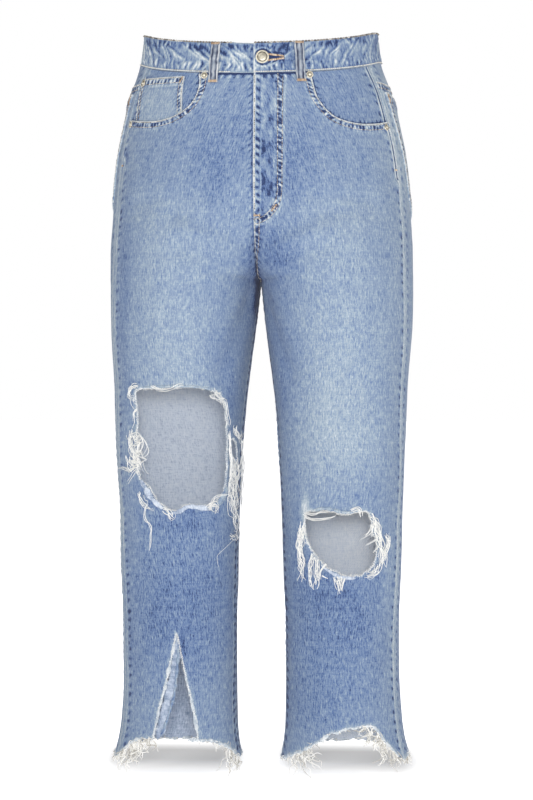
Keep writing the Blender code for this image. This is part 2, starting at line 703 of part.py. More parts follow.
def hem_stations(side):
    """Places round a hem, and whether they go all the way round or stop at its slit."""
    in_front = [("front", step / HEM_STEPS) for step in range(HEM_STEPS)]
    round_back = [("back", 1 - step / HEM_STEPS) for step in range(HEM_STEPS)]
    if side == "left":
        return in_front + round_back, True
    width = float(SKIN.width("front", hem("front", side, 0.5)))
    near, far = (HEM_SLIT_RIGHT[corner][0] / width for corner in SLIT_AT_HEM)
    after = [place for place in in_front if place[1] > far + SLIT_CLEAR]
    before = [place for place in in_front if place[1] < near - SLIT_CLEAR]
    return [("front", far)] + after + round_back + before + [("front", near)], False


def fringe(side, cream):
    """The reach of the threads that hang from a hem, all round the leg but for its slit."""
    stations, closed = hem_stations(side)
    sections = []
    for part, fraction in stations:
        between_seams = float(smooth(min(fraction, 1 - fraction) / FRINGE_SPREAD))
        reach = FRINGE_LONG + (FRINGE_SHORT - FRINGE_LONG) * between_seams
        top = hem(part, side, fraction) - GAP
        corners = ((top, 0.0), (top - reach, 0.0), (top - reach, -FRINGE_WALL), (top, -FRINGE_WALL))
        sections.append([spot(side, across_at(part, fraction, z), z, out) for z, out in corners])
    return swept(f"hem_fringe_{side}", sections, cream, closed)


def band_point(side, part, fraction, rise, out):
    """A place on the waistband, a rise above its seam."""
    z = waist_seam(part, fraction) + rise
    return spot(side, across_at(part, fraction, z), z, out)


def waistband(denim):
    """One strip from the wearer's-left centre front round to the right, and on under itself."""
    stations = [("left", "front", f) for f in reversed(waist_stations("front"))]
    stations += [("left", "back", f) for f in waist_stations("back")[1:]]
    stations += [("right", "back", f) for f in reversed(waist_stations("back")[:-1])]
    stations += [("right", "front", f) for f in waist_stations("front")[1:]]
    width = float(SKIN.width("front", waist_seam("front", 1)))
    sections = []

    def section(side, part, fraction, sink):
        outer, inner = BAND_OUT - sink, BAND_OUT - sink - BAND_WALL
        low, high = HALF_GAP, BAND_HEIGHT
        corners = ((low, outer), (high / 2, outer), (high, outer), (high, inner), (high / 2, inner),
                   (low, inner))
        return [band_point(side, part, fraction, rise, out) for rise, out in corners]

    lapped = BAND_WALL + GAP
    for side, part, fraction in stations:
        from_centre = (1 - fraction) * width if (side, part) == ("right", "front") else LAP_RAMP
        sink = lapped * (1 - float(smooth(from_centre / LAP_RAMP)))
        sections.append(section(side, part, fraction, sink))
    for step in range(1, LAP_STEPS + 1):
        under = step / LAP_STEPS * LAP_LENGTH / width
        sections.append(section("left", "front", 1 - under, lapped))
    return swept("waistband", sections, denim)


def belt_loop(name, side, part, from_centre, lean, denim):
    """A strip that stands off the waistband between its two sewn ends."""
    fraction = 1 - from_centre / float(SKIN.width(part, waist_seam(part, 0.6)))
    sections = []
    for rise, out in LOOP_PROFILE:
        z = waist_seam(part, fraction) + rise
        middle = float(SKIN.width(part, z)) - from_centre + lean * rise
        if part == "back":
            middle *= -1
        near, far = middle - LOOP_WIDTH / 2, middle + LOOP_WIDTH / 2
        corners = ((near, out), (far, out), (far, out + LOOP_WALL), (near, out + LOOP_WALL))
        sections.append([spot(side, across, z, depth) for across, depth in corners])
    return swept(name, sections, denim)


def centre_loop(name, denim):
    """The belt loop over the centre back, with a corner on each half."""
    sections = []
    for rise, out in LOOP_PROFILE:
        z = waist_seam("back", 1) + rise
        edge = -float(SKIN.width("back", z)) + LOOP_WIDTH / 2
        over = out + LOOP_WALL
        corners = (("left", out), ("right", out), ("right", over), ("left", over))
        sections.append([spot(side, edge, z, depth) for side, depth in corners])
    return swept(name, sections, denim)


def turned(name, centre, axis, profile, finish):
    """A round metal piece, turned from a profile and standing on the cloth."""
    maker = bmesh.new()
    aim = Vector(axis).to_track_quat("Z", "X")
    rings = []
    for radius, height in profile:
        ring = []
        for step in range(ROUND_STEPS):
            angle = 2 * math.pi * step / ROUND_STEPS
            corner = Vector((radius * math.cos(angle), radius * math.sin(angle), height))
            ring.append(maker.verts.new(Vector(centre) + aim @ corner))
        rings.append(ring)
    for near, far in zip(rings, rings[1:]):
        for i in range(ROUND_STEPS):
            j = (i + 1) % ROUND_STEPS
            maker.faces.new((near[i], near[j], far[j], far[i]))
    maker.faces.new(rings[0])
    maker.faces.new(rings[-1][::-1])
    bmesh.ops.triangulate(maker, faces=maker.faces)
    return add_object(name, maker, finish)


def stud(name, side, across, z, out, profile, brass):
    """A turned piece standing square to the cloth."""
    axis = SKIN.normal(np.array([across]), np.array([z]))[0]
    if side == "right":
        axis[0] *= -1
    turned(name, spot(side, across, z, out), axis, profile, brass)


def metal(brass):
    z = waist_seam("front", 1) + BAND_HEIGHT / 2
    across = float(SKIN.width("front", z)) - BUTTON_FROM_CENTRE
    stud("button", "left", across, z, BAND_OUT + METAL_CLEAR, BUTTON_PROFILE, brass)
    for number, (side, datum, distance, z) in enumerate(RIVETS, 1):
        across = distance if datum == "outseam" else float(SKIN.width("front", z)) - distance
        stud(f"rivet_{number}", side, across, z, METAL_CLEAR, RIVET_PROFILE, brass)


def main():
    for old in list(bpy.data.objects):
        bpy.data.objects.remove(old, do_unlink=True)
    denim = material("denim", DENIM, 0.9)
    denim_light = material("denim_light", DENIM_LIGHT, 0.9)
    cream = material("cream", CREAM, 0.9)
    brass = material("brass", BRASS, 0.35, 1.0)
    for side in ("left", "right"):
        front(side, denim)
        back(side, denim)
        fringe(side, cream)
    waistband(denim)
    for name, side, part, from_centre, lean in LOOPS:
        belt_loop(name, side, part, from_centre, lean, denim_light)
    centre_loop("belt_loop_back", denim_light)
    metal(brass)


main()
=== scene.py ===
"""The looks of the ripped jeans: cloth, stitching, frayed threads and metal.

Each panel is a thin shell on the form of its solid. The first section repeats that form
from the part's own sizes: a skin read by how far a place is forward of the outseam, and
its height. Creases, seams, fading and threads are then placed on it in the same way.
"""
import math

import bpy
import numpy as np
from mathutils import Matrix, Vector
from mathutils.geometry import delaunay_2d_cdt
from mathutils.kdtree import KDTree


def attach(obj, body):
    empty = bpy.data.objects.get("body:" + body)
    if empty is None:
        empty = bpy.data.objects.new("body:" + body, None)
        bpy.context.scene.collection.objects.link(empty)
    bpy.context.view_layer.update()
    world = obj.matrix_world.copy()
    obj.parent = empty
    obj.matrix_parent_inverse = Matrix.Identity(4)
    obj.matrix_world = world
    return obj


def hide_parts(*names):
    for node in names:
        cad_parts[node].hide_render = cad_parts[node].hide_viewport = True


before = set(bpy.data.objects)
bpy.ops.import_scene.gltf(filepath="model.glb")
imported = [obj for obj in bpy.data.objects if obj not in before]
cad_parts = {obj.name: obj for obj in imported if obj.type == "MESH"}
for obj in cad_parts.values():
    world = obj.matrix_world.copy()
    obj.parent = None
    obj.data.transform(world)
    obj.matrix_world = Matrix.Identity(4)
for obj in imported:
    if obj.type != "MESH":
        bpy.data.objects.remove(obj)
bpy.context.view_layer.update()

# === The skin of the filled jeans, as in the CAD ==========================================

# Cloth, in metres
WALL = 0.0016                # a layer of denim
GAP = 0.0003                 # between two pieces that are sewn together
HALF_GAP = GAP / 2

# Levels
BAND_TOP = 0.0205            # top of the waistband at the back
BAND_HEIGHT = 0.0395
WAIST_TILT = 0.277           # the waist slopes down towards the front
WAIST_TILT_START = -0.020    # from here on, just in front of the sides
WAIST_TILT_EASE = 0.015      # after an easy turn of this reach
CROTCH_Z = -0.299
CROTCH_Y = 0.006
HEM_CORNER_Z = -0.918        # the hem's lowest points, at the seams
HEM_ARCH_BACK = 0.014        # the worn back hem rises this much between the seams
RISE_START_FRONT = -0.150    # the centre seams begin to turn under at these levels
RISE_START_BACK = -0.170
RISE_POWER = 2.2
ROUNDNESS = 0.56             # Bezier handle of a quarter turn; 0.5523 is a circle
FLATNESS = 0.4               # and that of a section where it crosses the centre seam

# The figure, wearer's-left half: one row for each level, with the places where its
# section is furthest out at the side, the front and the back.
#   z       x_side  y_side  x_front y_front  x_back y_back  seam_forward
FIGURE = (
    (-0.961, 0.2040, 0.008, 0.1060, -0.0780, 0.1060, 0.0920, 0.033),
    (-0.923, 0.1945, 0.008, 0.1060, -0.0770, 0.1060, 0.0890, 0.033),
    (-0.896, 0.1875, 0.008, 0.1060, -0.0750, 0.1060, 0.0860, 0.034),
    (-0.838, 0.1810, 0.008, 0.1060, -0.0740, 0.1060, 0.0850, 0.035),
    (-0.780, 0.1798, 0.008, 0.1050, -0.0750, 0.1050, 0.0860, 0.035),
    (-0.702, 0.1810, 0.004, 0.1050, -0.0790, 0.1050, 0.0850, 0.034),
    (-0.643, 0.1830, 0.000, 0.1050, -0.0840, 0.1050, 0.0800, 0.031),
    (-0.604, 0.1837, -0.002, 0.1050, -0.0870, 0.1050, 0.0770, 0.029),
    (-0.565, 0.1856, -0.001, 0.1045, -0.0900, 0.1045, 0.0790, 0.028),
    (-0.487, 0.1895, 0.000, 0.1040, -0.0970, 0.1040, 0.0870, 0.038),
    (-0.428, 0.1920, 0.002, 0.1020, -0.1030, 0.1020, 0.0930, 0.042),
    (-0.389, 0.1947, 0.004, 0.1010, -0.1070, 0.1010, 0.0970, 0.045),
    (-0.350, 0.1960, 0.006, 0.1000, -0.1110, 0.0990, 0.1020, 0.049),
    (-0.299, 0.1967, 0.008, 0.0960, -0.1150, 0.0950, 0.1110, 0.054),
    (-0.253, 0.1960, 0.010, 0.0850, -0.1170, 0.0900, 0.1250, 0.054),
    (-0.214, 0.1935, 0.011, 0.0680, -0.1170, 0.0840, 0.1340, 0.051),
    (-0.175, 0.1905, 0.010, 0.0480, -0.1160, 0.0780, 0.1380, 0.048),
    (-0.136, 0.1856, 0.008, 0.0300, -0.1140, 0.0700, 0.1350, 0.046),
    (-0.097, 0.1775, 0.006, 0.0180, -0.1110, 0.0560, 0.1250, 0.046),
    (-0.057, 0.1690, 0.003, 0.0100, -0.1070, 0.0360, 0.1130, 0.048),
    (-0.026, 0.1582, 0.001, 0.0060, -0.1030, 0.0180, 0.1040, 0.050),
    (0.020, 0.1515, 0.000, 0.0040, -0.0980, 0.0060, 0.0980, 0.050),
    (0.040, 0.1515, 0.000, 0.0040, -0.0980, 0.0060, 0.0980, 0.050),
)
X_SIDE, Y_SIDE, X_FRONT, Y_FRONT, X_BACK, Y_BACK, SEAM_FORWARD = range(1, 8)

# The inside of the leg: where it is furthest in, and how far forward of that its seam is.
#   z       x_in    y_in    seam_forward
INSIDE = (
    (-0.961, 0.0190, 0.008, 0.014),
    (-0.923, 0.0245, 0.008, 0.014),
    (-0.896, 0.0295, 0.008, 0.014),
    (-0.838, 0.0320, 0.008, 0.014),
    (-0.780, 0.0320, 0.008, 0.014),
    (-0.702, 0.0310, 0.004, 0.014),
    (-0.604, 0.0280, 0.000, 0.014),
    (-0.526, 0.0240, 0.002, 0.014),
    (-0.487, 0.0215, 0.004, 0.013),
    (-0.428, 0.0150, 0.006, 0.011),
    (-0.389, 0.0102, 0.006, 0.008),
    (-0.350, 0.0056, 0.006, 0.004),
    (-0.318, 0.0020, 0.006, 0.001),
    (CROTCH_Z, 0.0000, CROTCH_Y, 0.000),
)
X_IN, Y_IN, INSEAM_FORWARD = range(1, 4)

# The skin is worked out once on a fine grid
ROW_STEP = 0.002             # it has a row at the crotch
NUDGE = 1e-6
ACROSS_STEP = 0.002
ARC_STEPS = 24
OVERRUN = 0.060              # the skin goes on this far past the centre seams
ACROSS_BACK = -0.440
ACROSS_FRONT = 0.400


def column(table, index, z):
    """One column of a table at heights z, as a smooth curve through its rows."""
    levels = np.array([row[0] for row in table])
    values = np.array([row[index] for row in table])
    slopes = np.gradient(values, levels)
    low = np.clip(np.searchsorted(levels, z) - 1, 0, len(levels) - 2)
    span = levels[low + 1] - levels[low]
    t = np.clip((z - levels[low]) / span, 0.0, 1.0)
    rise = values[low + 1] - values[low]
    start, end = slopes[low] * span, slopes[low + 1] * span
    bend = 3 * rise - 2 * start - end + t * (start + end - 2 * rise)
    return values[low] + t * (start + t * bend)


def turn_under(z, start):
    """How far down the curve of a centre seam a level is: 0 where it starts, 1 at the crotch."""
    return np.clip((start - z) / (start - CROTCH_Z), 0.0, 1.0)


def smooth(t):
    t = np.clip(t, 0.0, 1.0)
    return t * t * (3 - 2 * t)


def quarter(start, start_handle, end_handle, end):
    t = np.linspace(0, 1, ARC_STEPS)[None, :, None]
    points = [corner[:, None, :] for corner in (start, start_handle, end_handle, end)]
    weights = ((1 - t) ** 3, 3 * t * (1 - t) ** 2, 3 * t * t * (1 - t), t ** 3)
    return sum(weight * point for weight, point in zip(weights, points))


def pair(x, y):
    return np.stack([x + 0 * y, y + 0 * x], axis=-1)


def inner_end(z, x_far, y_far, start):
    """The end of the half section, at the centre seam or the inseam, and its curve's handle."""
    under = turn_under(z, start)
    hang = (1 - under ** RISE_POWER) ** (1 / RISE_POWER)
    torso = z > CROTCH_Z + NUDGE
    x = np.where(torso, 0.0, column(INSIDE, X_IN, z))
    y = np.where(torso, CROTCH_Y + (y_far - CROTCH_Y) * hang, column(INSIDE, Y_IN, z))
    angle = math.pi / 2 * smooth(under)
    reach_x, reach_y = x_far - x, y_far - y
    handle = pair(x + FLATNESS * reach_x * np.cos(angle), y + ROUNDNESS * reach_y * np.sin(angle))
    return pair(x, y), handle


def half_sections(z):
    """The half section of the figure at each level: its points, and how far along each is."""
    x_side, y_side = column(FIGURE, X_SIDE, z), column(FIGURE, Y_SIDE, z)
    x_front, y_front = column(FIGURE, X_FRONT, z), column(FIGURE, Y_FRONT, z)
    x_back, y_back = column(FIGURE, X_BACK, z), column(FIGURE, Y_BACK, z)
    first, first_handle = inner_end(z, x_front, y_front, RISE_START_FRONT)
    last, last_handle = inner_end(z, x_back, y_back, RISE_START_BACK)
    front, side, back = pair(x_front, y_front), pair(x_side, y_side), pair(x_back, y_back)
    inner_front = quarter(
        first, first_handle, pair(x_front - ROUNDNESS * (x_front - first[:, 0]), y_front), front)
    outer_front = quarter(
        front, pair(x_front + ROUNDNESS * (x_side - x_front), y_front),
        pair(x_side, y_side + ROUNDNESS * (y_front - y_side)), side)
    outer_back = quarter(
        side, pair(x_side, y_side + ROUNDNESS * (y_back - y_side)),
        pair(x_back + ROUNDNESS * (x_side - x_back), y_back), back)
    inner_back = quarter(
        back, pair(x_back - ROUNDNESS * (x_back - last[:, 0]), y_back), last_handle, last)
    # Past its ends a torso section runs straight on, and a leg's goes round again
    torso = (z > CROTCH_Z + NUDGE)[:, None, None]
    way_in = first - inner_front[:, 1]
    way_out = last - inner_back[:, -2]
    steps = np.linspace(0, OVERRUN, ARC_STEPS)[None, :, None]
    unit_in = way_in / np.linalg.norm(way_in, axis=1, keepdims=True)
    unit_out = way_out / np.linalg.norm(way_out, axis=1, keepdims=True)
    before = np.where(torso, first[:, None] + steps[:, ::-1] * unit_in[:, None], inner_back)
    after = np.where(torso, last[:, None] + steps * unit_out[:, None], inner_front)
    points = np.concatenate(
        [before, inner_front[:, 1:], outer_front[:, 1:], outer_back[:, 1:], inner_back[:, 1:],
         after[:, 1:]], axis=1)
    along = np.zeros(points.shape[:2])
    along[:, 1:] = np.cumsum(np.linalg.norm(np.diff(points, axis=1), axis=2), axis=1)
    return points, along


class Skin:
    """The wearer's-left half of the surface, read by distance forward of the outseam and height."""

    def __init__(self):
        self.levels = np.round(np.arange(FIGURE[0][0], FIGURE[-1][0], ROW_STEP), 6)
        self.across = np.arange(ACROSS_BACK, ACROSS_FRONT, ACROSS_STEP)
        points, along = half_sections(self.levels)
        side = 3 * (ARC_STEPS - 1)
        first, last = ARC_STEPS - 1, 5 * (ARC_STEPS - 1)
        rows = range(len(self.levels))
        outseam = along[:, side] - column(FIGURE, SEAM_FORWARD, self.levels)
        torso = self.levels > CROTCH_Z + NUDGE
        inseam = np.where(torso, 0.0, column(INSIDE, INSEAM_FORWARD, self.levels))
        self.front_width = outseam - along[:, first] - inseam
        self.back_width = along[:, last] + inseam - outseam
        self.grid = np.array([
            [np.interp(outseam[row] - self.across, along[row], points[row, :, axis])
             for axis in (0, 1)] for row in rows])

    def width(self, part, z):
        """How far the front or the back reaches from the outseam at height z."""
        widths = self.front_width if part == "front" else self.back_width
        return np.interp(z, self.levels, widths)

    def point(self, across, z):
        across, z = np.asarray(across, float), np.asarray(z, float)
        row = np.clip((z - self.levels[0]) / ROW_STEP, 0, len(self.levels) - 1.001)
        place = np.clip((across - self.across[0]) / ACROSS_STEP, 0, len(self.across) - 1.001)
        low_row, low_place = row.astype(int), place.astype(int)
        up, over = (row - low_row)[..., None], (place - low_place)[..., None]
        near, far = (self.grid[level, :, low_place] * (1 - over)
                     + self.grid[level, :, low_place + 1] * over
                     for level in (low_row, low_row + 1))
        flat = near * (1 - up) + far * up
        return np.concatenate([flat, z[..., None]], axis=-1)

    def normal(self, across, z, reach=0.004):
        over = self.point(across + reach, z) - self.point(across - reach, z)
        up = self.point(across, z + reach) - self.point(across, z - reach)
        out = np.cross(up, over)
        return out / np.linalg.norm(out, axis=-1, keepdims=True)


SKIN = Skin()

# === Patterns, as in the CAD ==============================================================
# Each place is how far forward of the outseam it is, and its height.
KNEE_HOLE_RIGHT = (
    (0.058, -0.442), (0.092, -0.440), (0.130, -0.438), (0.162, -0.443), (0.179, -0.456),
    (0.185, -0.490), (0.186, -0.532), (0.183, -0.562), (0.170, -0.580), (0.144, -0.590),
    (0.120, -0.588), (0.108, -0.596), (0.088, -0.588), (0.074, -0.564), (0.060, -0.555),
    (0.055, -0.510), (0.056, -0.470),
)
KNEE_SLOT_RIGHT = (          # a narrow second tear beside it, left to this script
    (0.193, -0.504), (0.205, -0.508), (0.212, -0.520), (0.212, -0.536), (0.205, -0.544),
    (0.197, -0.536), (0.193, -0.520),
)
KNEE_HOLE_LEFT = (
    (0.144, -0.600), (0.124, -0.594), (0.092, -0.599), (0.062, -0.597), (0.052, -0.620),
    (0.044, -0.638), (0.045, -0.660), (0.055, -0.673), (0.078, -0.678), (0.106, -0.668),
    (0.130, -0.646), (0.143, -0.624),
)
HEM_SLIT_RIGHT = (
    (0.093, -0.752), (0.087, -0.780), (0.079, -0.815), (0.071, -0.848), (0.066, -0.890),
    (0.065, -0.950), (0.131, -0.950), (0.127, -0.892), (0.115, -0.848), (0.105, -0.812),
    (0.099, -0.780),
)
#   place   left    right
HEM_FRONT = (
    (0.00, -0.918, -0.918),
    (0.12, -0.897, -0.899),
    (0.24, -0.869, -0.889),
    (0.33, -0.871, -0.887),
    (0.50, -0.879, -0.888),
    (0.65, -0.897, -0.890),
    (0.78, -0.908, -0.896),
    (0.90, -0.915, -0.906),
    (1.00, -0.918, -0.918),
)
HEM_COLUMN = {"left": 1, "right": 2}
SIDES = ("left", "right")
PARTS = ("front", "back")
FORWARD = {"front": 1, "back": -1}    # which way a panel lies from the outseam
POCKET_MOUTH = {
    "left": (
        (HALF_GAP, -0.0980), (0.026, -0.1025), (0.052, -0.1042), (0.070, -0.1020),
        (0.085, -0.0970), (0.094, -0.0880), (0.0995, -0.0760), (0.1005, -0.0660),
        (0.098, -0.0530),
    ),
    "right": (
        (HALF_GAP, -0.0935), (0.025, -0.0965), (0.050, -0.0985), (0.068, -0.0980),
        (0.085, -0.0940), (0.097, -0.0870), (0.104, -0.0790), (0.1065, -0.0670),
        (0.104, -0.0540),
    ),
}
# How far along the waist the pocket mouth and the facing reach, from the outseam
POCKET_FRACTION = 0.567
FACING_FRACTION = 0.680
MOUTH_TOP_Z = -0.0385
FACING_TOP_Z = -0.0395
CORNER_STEPS = 8             # corners in each stretch of these two curves
FACING_EDGE = (
    (HALF_GAP, -0.118), (0.034, -0.1200), (0.070, -0.1170), (0.096, -0.107), (0.111, -0.088),
    (0.1150, -0.066),
)
COIN_POCKET_TOP = ((0.002, -0.0415), (0.077, -0.0430))
COIN_POCKET_FOOT = (0.016, 0.096)        # it meets the pocket mouth between these places
COIN_CLEAR = 0.0008
FLY_WIDTH = 0.037
FLY_TURN_Z = -0.190          # its edge turns in from here to its foot
FLY_FOOT_Z = -0.232
YOKE_SIDE_Z = -0.047         # its seam drops between these, slowly at first
YOKE_CENTRE_Z = -0.088
YOKE_BEND = 1.7
BACK_POCKET = (
    (-0.011, -0.060), (-0.090, -0.0755), (-0.168, -0.089), (-0.172, -0.148), (-0.168, -0.208),
    (-0.103, -0.234), (-0.034, -0.196), (-0.023, -0.128),
)
BACK_HEM_ARCH_POWER = 0.7
BAND_OUT = 0.0006            # the waistband's face stands out from the skin
BAND_WALL = 0.0030
LAP_LENGTH = 0.036           # of its end under the other
LAP_RAMP = 0.030             # over which it sinks there
LOOP_WIDTH = 0.012
LOOP_WALL = 0.0016
#   rise above the waist seam, out from the skin
LOOP_PROFILE = (
    (-0.0130, 0.0013),
    (-0.0060, 0.0016),
    (0.0030, 0.0026),
    (0.0195, 0.0036),
    (0.0335, 0.0026),
    (0.0387, 0.0016),
)
#   name, wearer's side, part, how far from its centre seam, how much it leans
LOOPS = (
    ("belt_loop_front_left", "left", "front", 0.0592, 0.07),
    ("belt_loop_front_right", "right", "front", 0.0506, 0.07),
    ("belt_loop_side_left", "left", "back", 0.1600, 0.0),
    ("belt_loop_side_right", "right", "back", 0.1600, 0.0),
)
BUTTON_FROM_CENTRE = 0.011
METAL_CLEAR = 0.0005
#   wearer's side, measured from, distance, z
RIVETS = (
    ("left", "centre", 0.0712, -0.0435),
    ("right", "centre", 0.0635, -0.0435),
    ("left", "outseam", 0.0080, -0.1060),
    ("right", "outseam", 0.0054, -0.0995),
    ("right", "outseam", 0.0080, -0.0475),
)
#   across  z       across  z       breadth height
FOLDS = (
    (0.215, -0.262, 0.120, -0.218, 0.016, -0.0040),
    (0.230, -0.285, 0.130, -0.262, 0.014, -0.0030),
    (0.225, -0.275, 0.135, -0.238, 0.012, 0.0025),
    (0.240, -0.330, 0.180, -0.420, 0.016, -0.0035),
    (0.060, -0.205, 0.140, -0.196, 0.018, -0.0020),
    (0.050, -0.690, 0.150, -0.712, 0.018, -0.0025),
    (0.060, -0.800, 0.160, -0.780, 0.020, 0.0020),
    (-0.280, -0.290, -0.120, -0.262, 0.016, -0.0045),
    (-0.290, -0.320, -0.110, -0.306, 0.014, -0.0035),
    (-0.290, -0.306, -0.130, -0.285, 0.012, 0.0030),
    (-0.250, -0.560, -0.080, -0.590, 0.016, -0.0040),
    (-0.240, -0.600, -0.070, -0.618, 0.014, -0.0035),
    (-0.230, -0.640, -0.090, -0.632, 0.014, 0.0030),
    (-0.220, -0.760, -0.090, -0.740, 0.020, -0.0025),
)
FOLD_FREE_EDGE = 0.030       # folds die out this near the centre seams and the inseam

# === Creases, fading and painted shade, each on its own side ==============================
#   side, across, z, across, z, breadth, height
CREASES = (
    ("both", 0.020, -0.196, 0.110, -0.186, 0.005, 0.0007),
    ("both", 0.030, -0.214, 0.130, -0.206, 0.006, 0.0008),
    ("left", 0.035, -0.232, 0.120, -0.229, 0.006, 0.0006),
    ("right", 0.028, -0.226, 0.105, -0.221, 0.005, 0.0006),
    ("both", 0.150, -0.290, 0.232, -0.262, 0.006, -0.0010),
    ("both", 0.165, -0.308, 0.240, -0.286, 0.005, 0.0009),
    ("left", 0.190, -0.345, 0.246, -0.318, 0.006, -0.0008),
    ("right", 0.196, -0.350, 0.246, -0.330, 0.006, -0.0008),
    ("both", -0.060, -0.262, -0.220, -0.252, 0.007, 0.0012),
    ("both", -0.100, -0.330, -0.290, -0.338, 0.007, 0.0012),
    ("left", -0.090, -0.352, -0.260, -0.362, 0.008, -0.0012),
    ("both", -0.060, -0.575, -0.220, -0.558, 0.006, 0.0014),
    ("right", -0.080, -0.618, -0.230, -0.606, 0.006, 0.0014),
    ("left", -0.060, -0.652, -0.210, -0.668, 0.007, -0.0013),
    ("both", -0.040, -0.700, -0.180, -0.688, 0.008, -0.0012),
    ("both", 0.020, -0.626, 0.042, -0.640, 0.006, -0.0010),
    ("right", 0.060, -0.612, 0.160, -0.618, 0.007, -0.0010),
    ("left", 0.050, -0.700, 0.150, -0.708, 0.007, -0.0010),
    ("both", 0.020, -0.842, 0.100, -0.852, 0.009, 0.0010),
)
# Soft places, most faded, some painted shade at the crotch: side, across, z, reach across, reach up, how much
# paler
FADING_AND_SHADE = (
    ("both", 0.110, -0.345, 0.058, 0.110, 0.10),
    ("both", 0.098, -0.240, 0.060, 0.050, 0.05),
    ("right", 0.120, -0.490, 0.060, 0.090, 0.12),
    ("left", 0.110, -0.500, 0.060, 0.090, 0.20),
    # painted shade: the next five rows darken the inner thighs and the crotch, where the legs shade each
    # other
    ("right", 0.276, -0.326, 0.030, 0.040, -0.28),
    ("right", 0.226, -0.276, 0.016, 0.032, -0.24),
    ("both", 0.242, -0.279, 0.006, 0.012, -0.60),
    ("both", 0.258, -0.292, 0.012, 0.009, -0.90),
    ("right", 0.270, -0.318, 0.010, 0.024, -0.50),
    ("left", 0.147, -0.592, 0.006, 0.013, 0.55),
    ("both", 0.110, -0.640, 0.100, 0.100, -0.08),
    ("right", 0.016, -0.330, 0.014, 0.160, 0.14),
    ("both", 0.150, -0.120, 0.070, 0.070, -0.06),
    ("right", 0.120, -0.600, 0.060, 0.030, -0.10),
    ("left", 0.225, -0.300, 0.035, 0.110, -0.08),
    ("right", 0.225, -0.300, 0.035, 0.110, 0.05),
    ("right", 0.030, -0.320, 0.020, 0.130, -0.18),
    ("left", 0.012, -0.320, 0.030, 0.150, 0.05),
    ("left", -0.020, -0.100, 0.030, 0.080, 0.22),
    ("left", 0.004, -0.700, 0.022, 0.120, 0.10),
    ("left", 0.190, -0.270, 0.030, 0.030, -0.18),
    ("both", 0.190, -0.440, 0.030, 0.080, -0.12),
    ("both", 0.100, -0.740, 0.090, 0.080, -0.16),
    ("right", 0.158, -0.828, 0.030, 0.060, 0.04),
    ("left", 0.120, -0.845, 0.080, 0.040, -0.09),
    ("right", 0.008, -0.610, 0.014, 0.060, 0.12),
    ("both", 0.165, -0.160, 0.030, 0.050, -0.10),
    ("both", -0.120, -0.160, 0.080, 0.070, 0.30),
    ("both", -0.130, -0.360, 0.070, 0.120, 0.22),
    ("both", -0.140, -0.600, 0.070, 0.040, -0.12),
    ("both", -0.240, -0.300, 0.040, 0.110, -0.16),
)
FADE_BASE = 0.44             # the fading of plain cloth


def across_at(part, fraction, z):
    """Forward of the outseam, for a fraction of the front's or the back's width at height z."""
    return FORWARD[part] * np.asarray(fraction, float) * SKIN.width(part, z)


def waist_seam(part, fraction):
    """Height of the waistband's seam, by fraction of the way from the outseam to the centre."""
    fraction = np.asarray(fraction, float)
    y = SKIN.point(across_at(part, fraction, 0.0), 0 * fraction)[..., 1] - WAIST_TILT_START
    return BAND_TOP - BAND_HEIGHT - WAIST_TILT * (np.hypot(y, WAIST_TILT_EASE) - y) / 2


def hem(part, side, fraction):
    fraction = np.asarray(fraction, float)
    if part == "back":
        return HEM_CORNER_Z + HEM_ARCH_BACK * np.sin(np.pi * fraction) ** BACK_HEM_ARCH_POWER
    return column(HEM_FRONT, HEM_COLUMN[side], fraction)


def lattice(x, y, seed):
    value = np.sin(x * 127.1 + y * 311.7 + seed * 74.7) * 43758.5453
    return 2 * (value - np.floor(value)) - 1


def ripple(x, y, seed):
    """Smooth noise from -1 to 1 that changes over a distance of about 1."""
    x, y = np.broadcast_arrays(np.asarray(x, float), np.asarray(y, float))
    low_x, low_y = np.floor(x), np.floor(y)
    over, up = smooth(x - low_x), smooth(y - low_y)
    near = lattice(low_x, low_y, seed) * (1 - over) + lattice(low_x + 1, low_y, seed) * over
    far = lattice(low_x, low_y + 1, seed) * (1 - over) + lattice(low_x + 1, low_y + 1, seed) * over
    return near * (1 - up) + far * up


def bell(x, middle, breadth):
    return np.exp(-((x - middle) / breadth) ** 2)


def spot_mark(across, z, x, level, reach, reach_up):
    """A soft mark about one place, 1 at its middle."""
    return np.exp(-((across - x) / reach) ** 2 - ((z - level) / reach_up) ** 2)


def stroke(across, z, start, start_z, end, end_z, breadth):
    """A soft mark along a straight line, 1 on the line."""
    run, climb = end - start, end_z - start_z
    along = np.clip(((across - start) * run + (z - start_z) * climb) / (run ** 2 + climb ** 2), 0, 1)
    off = np.hypot(across - start - along * run, z - start_z - along * climb)
    return np.exp(-((off / breadth) ** 2)), along


def fold_height(across, z):
    height = np.zeros_like(across)
    for *line, peak in FOLDS:
        height = height + peak * stroke(across, z, *line)[0]
    to_front = SKIN.width("front", z) - across
    to_back = SKIN.width("back", z) + across
    return height * smooth(np.minimum(to_front, to_back) / FOLD_FREE_EDGE)


def place(side, across, z, out):
    """Points of the cloth, moved out from the skin, on the wearer's left or right."""
    across, z, out = np.broadcast_arrays(
        np.asarray(across, float), np.asarray(z, float), np.asarray(out, float))
    lift = fold_height(across, z) + out
    points = SKIN.point(across, z) + SKIN.normal(across, z) * lift[..., None]
    if side == "right":
        points[..., 0] *= -1
    return points


def curve_through(points, steps, closed=False):
    """A smooth line through a few places, round again to the first if it is closed."""
    points = [tuple(point) for point in points]
    ends = points[-1:] + points + points[:2] if closed else points[:1] + points + points[-1:]
    line = []
    for before, start, end, after in zip(ends, ends[1:], ends[2:], ends[3:]):
        for step in range(steps):
            t = step / steps
            line.append(tuple(
                0.5 * (2 * b + (c - a) * t + (2 * a - 5 * b + 4 * c - d) * t * t
                       + (3 * b - a - 3 * c + d) * t ** 3)
                for a, b, c, d in zip(before, start, end, after)))
    return np.array(line if closed else line + [points[-1]])


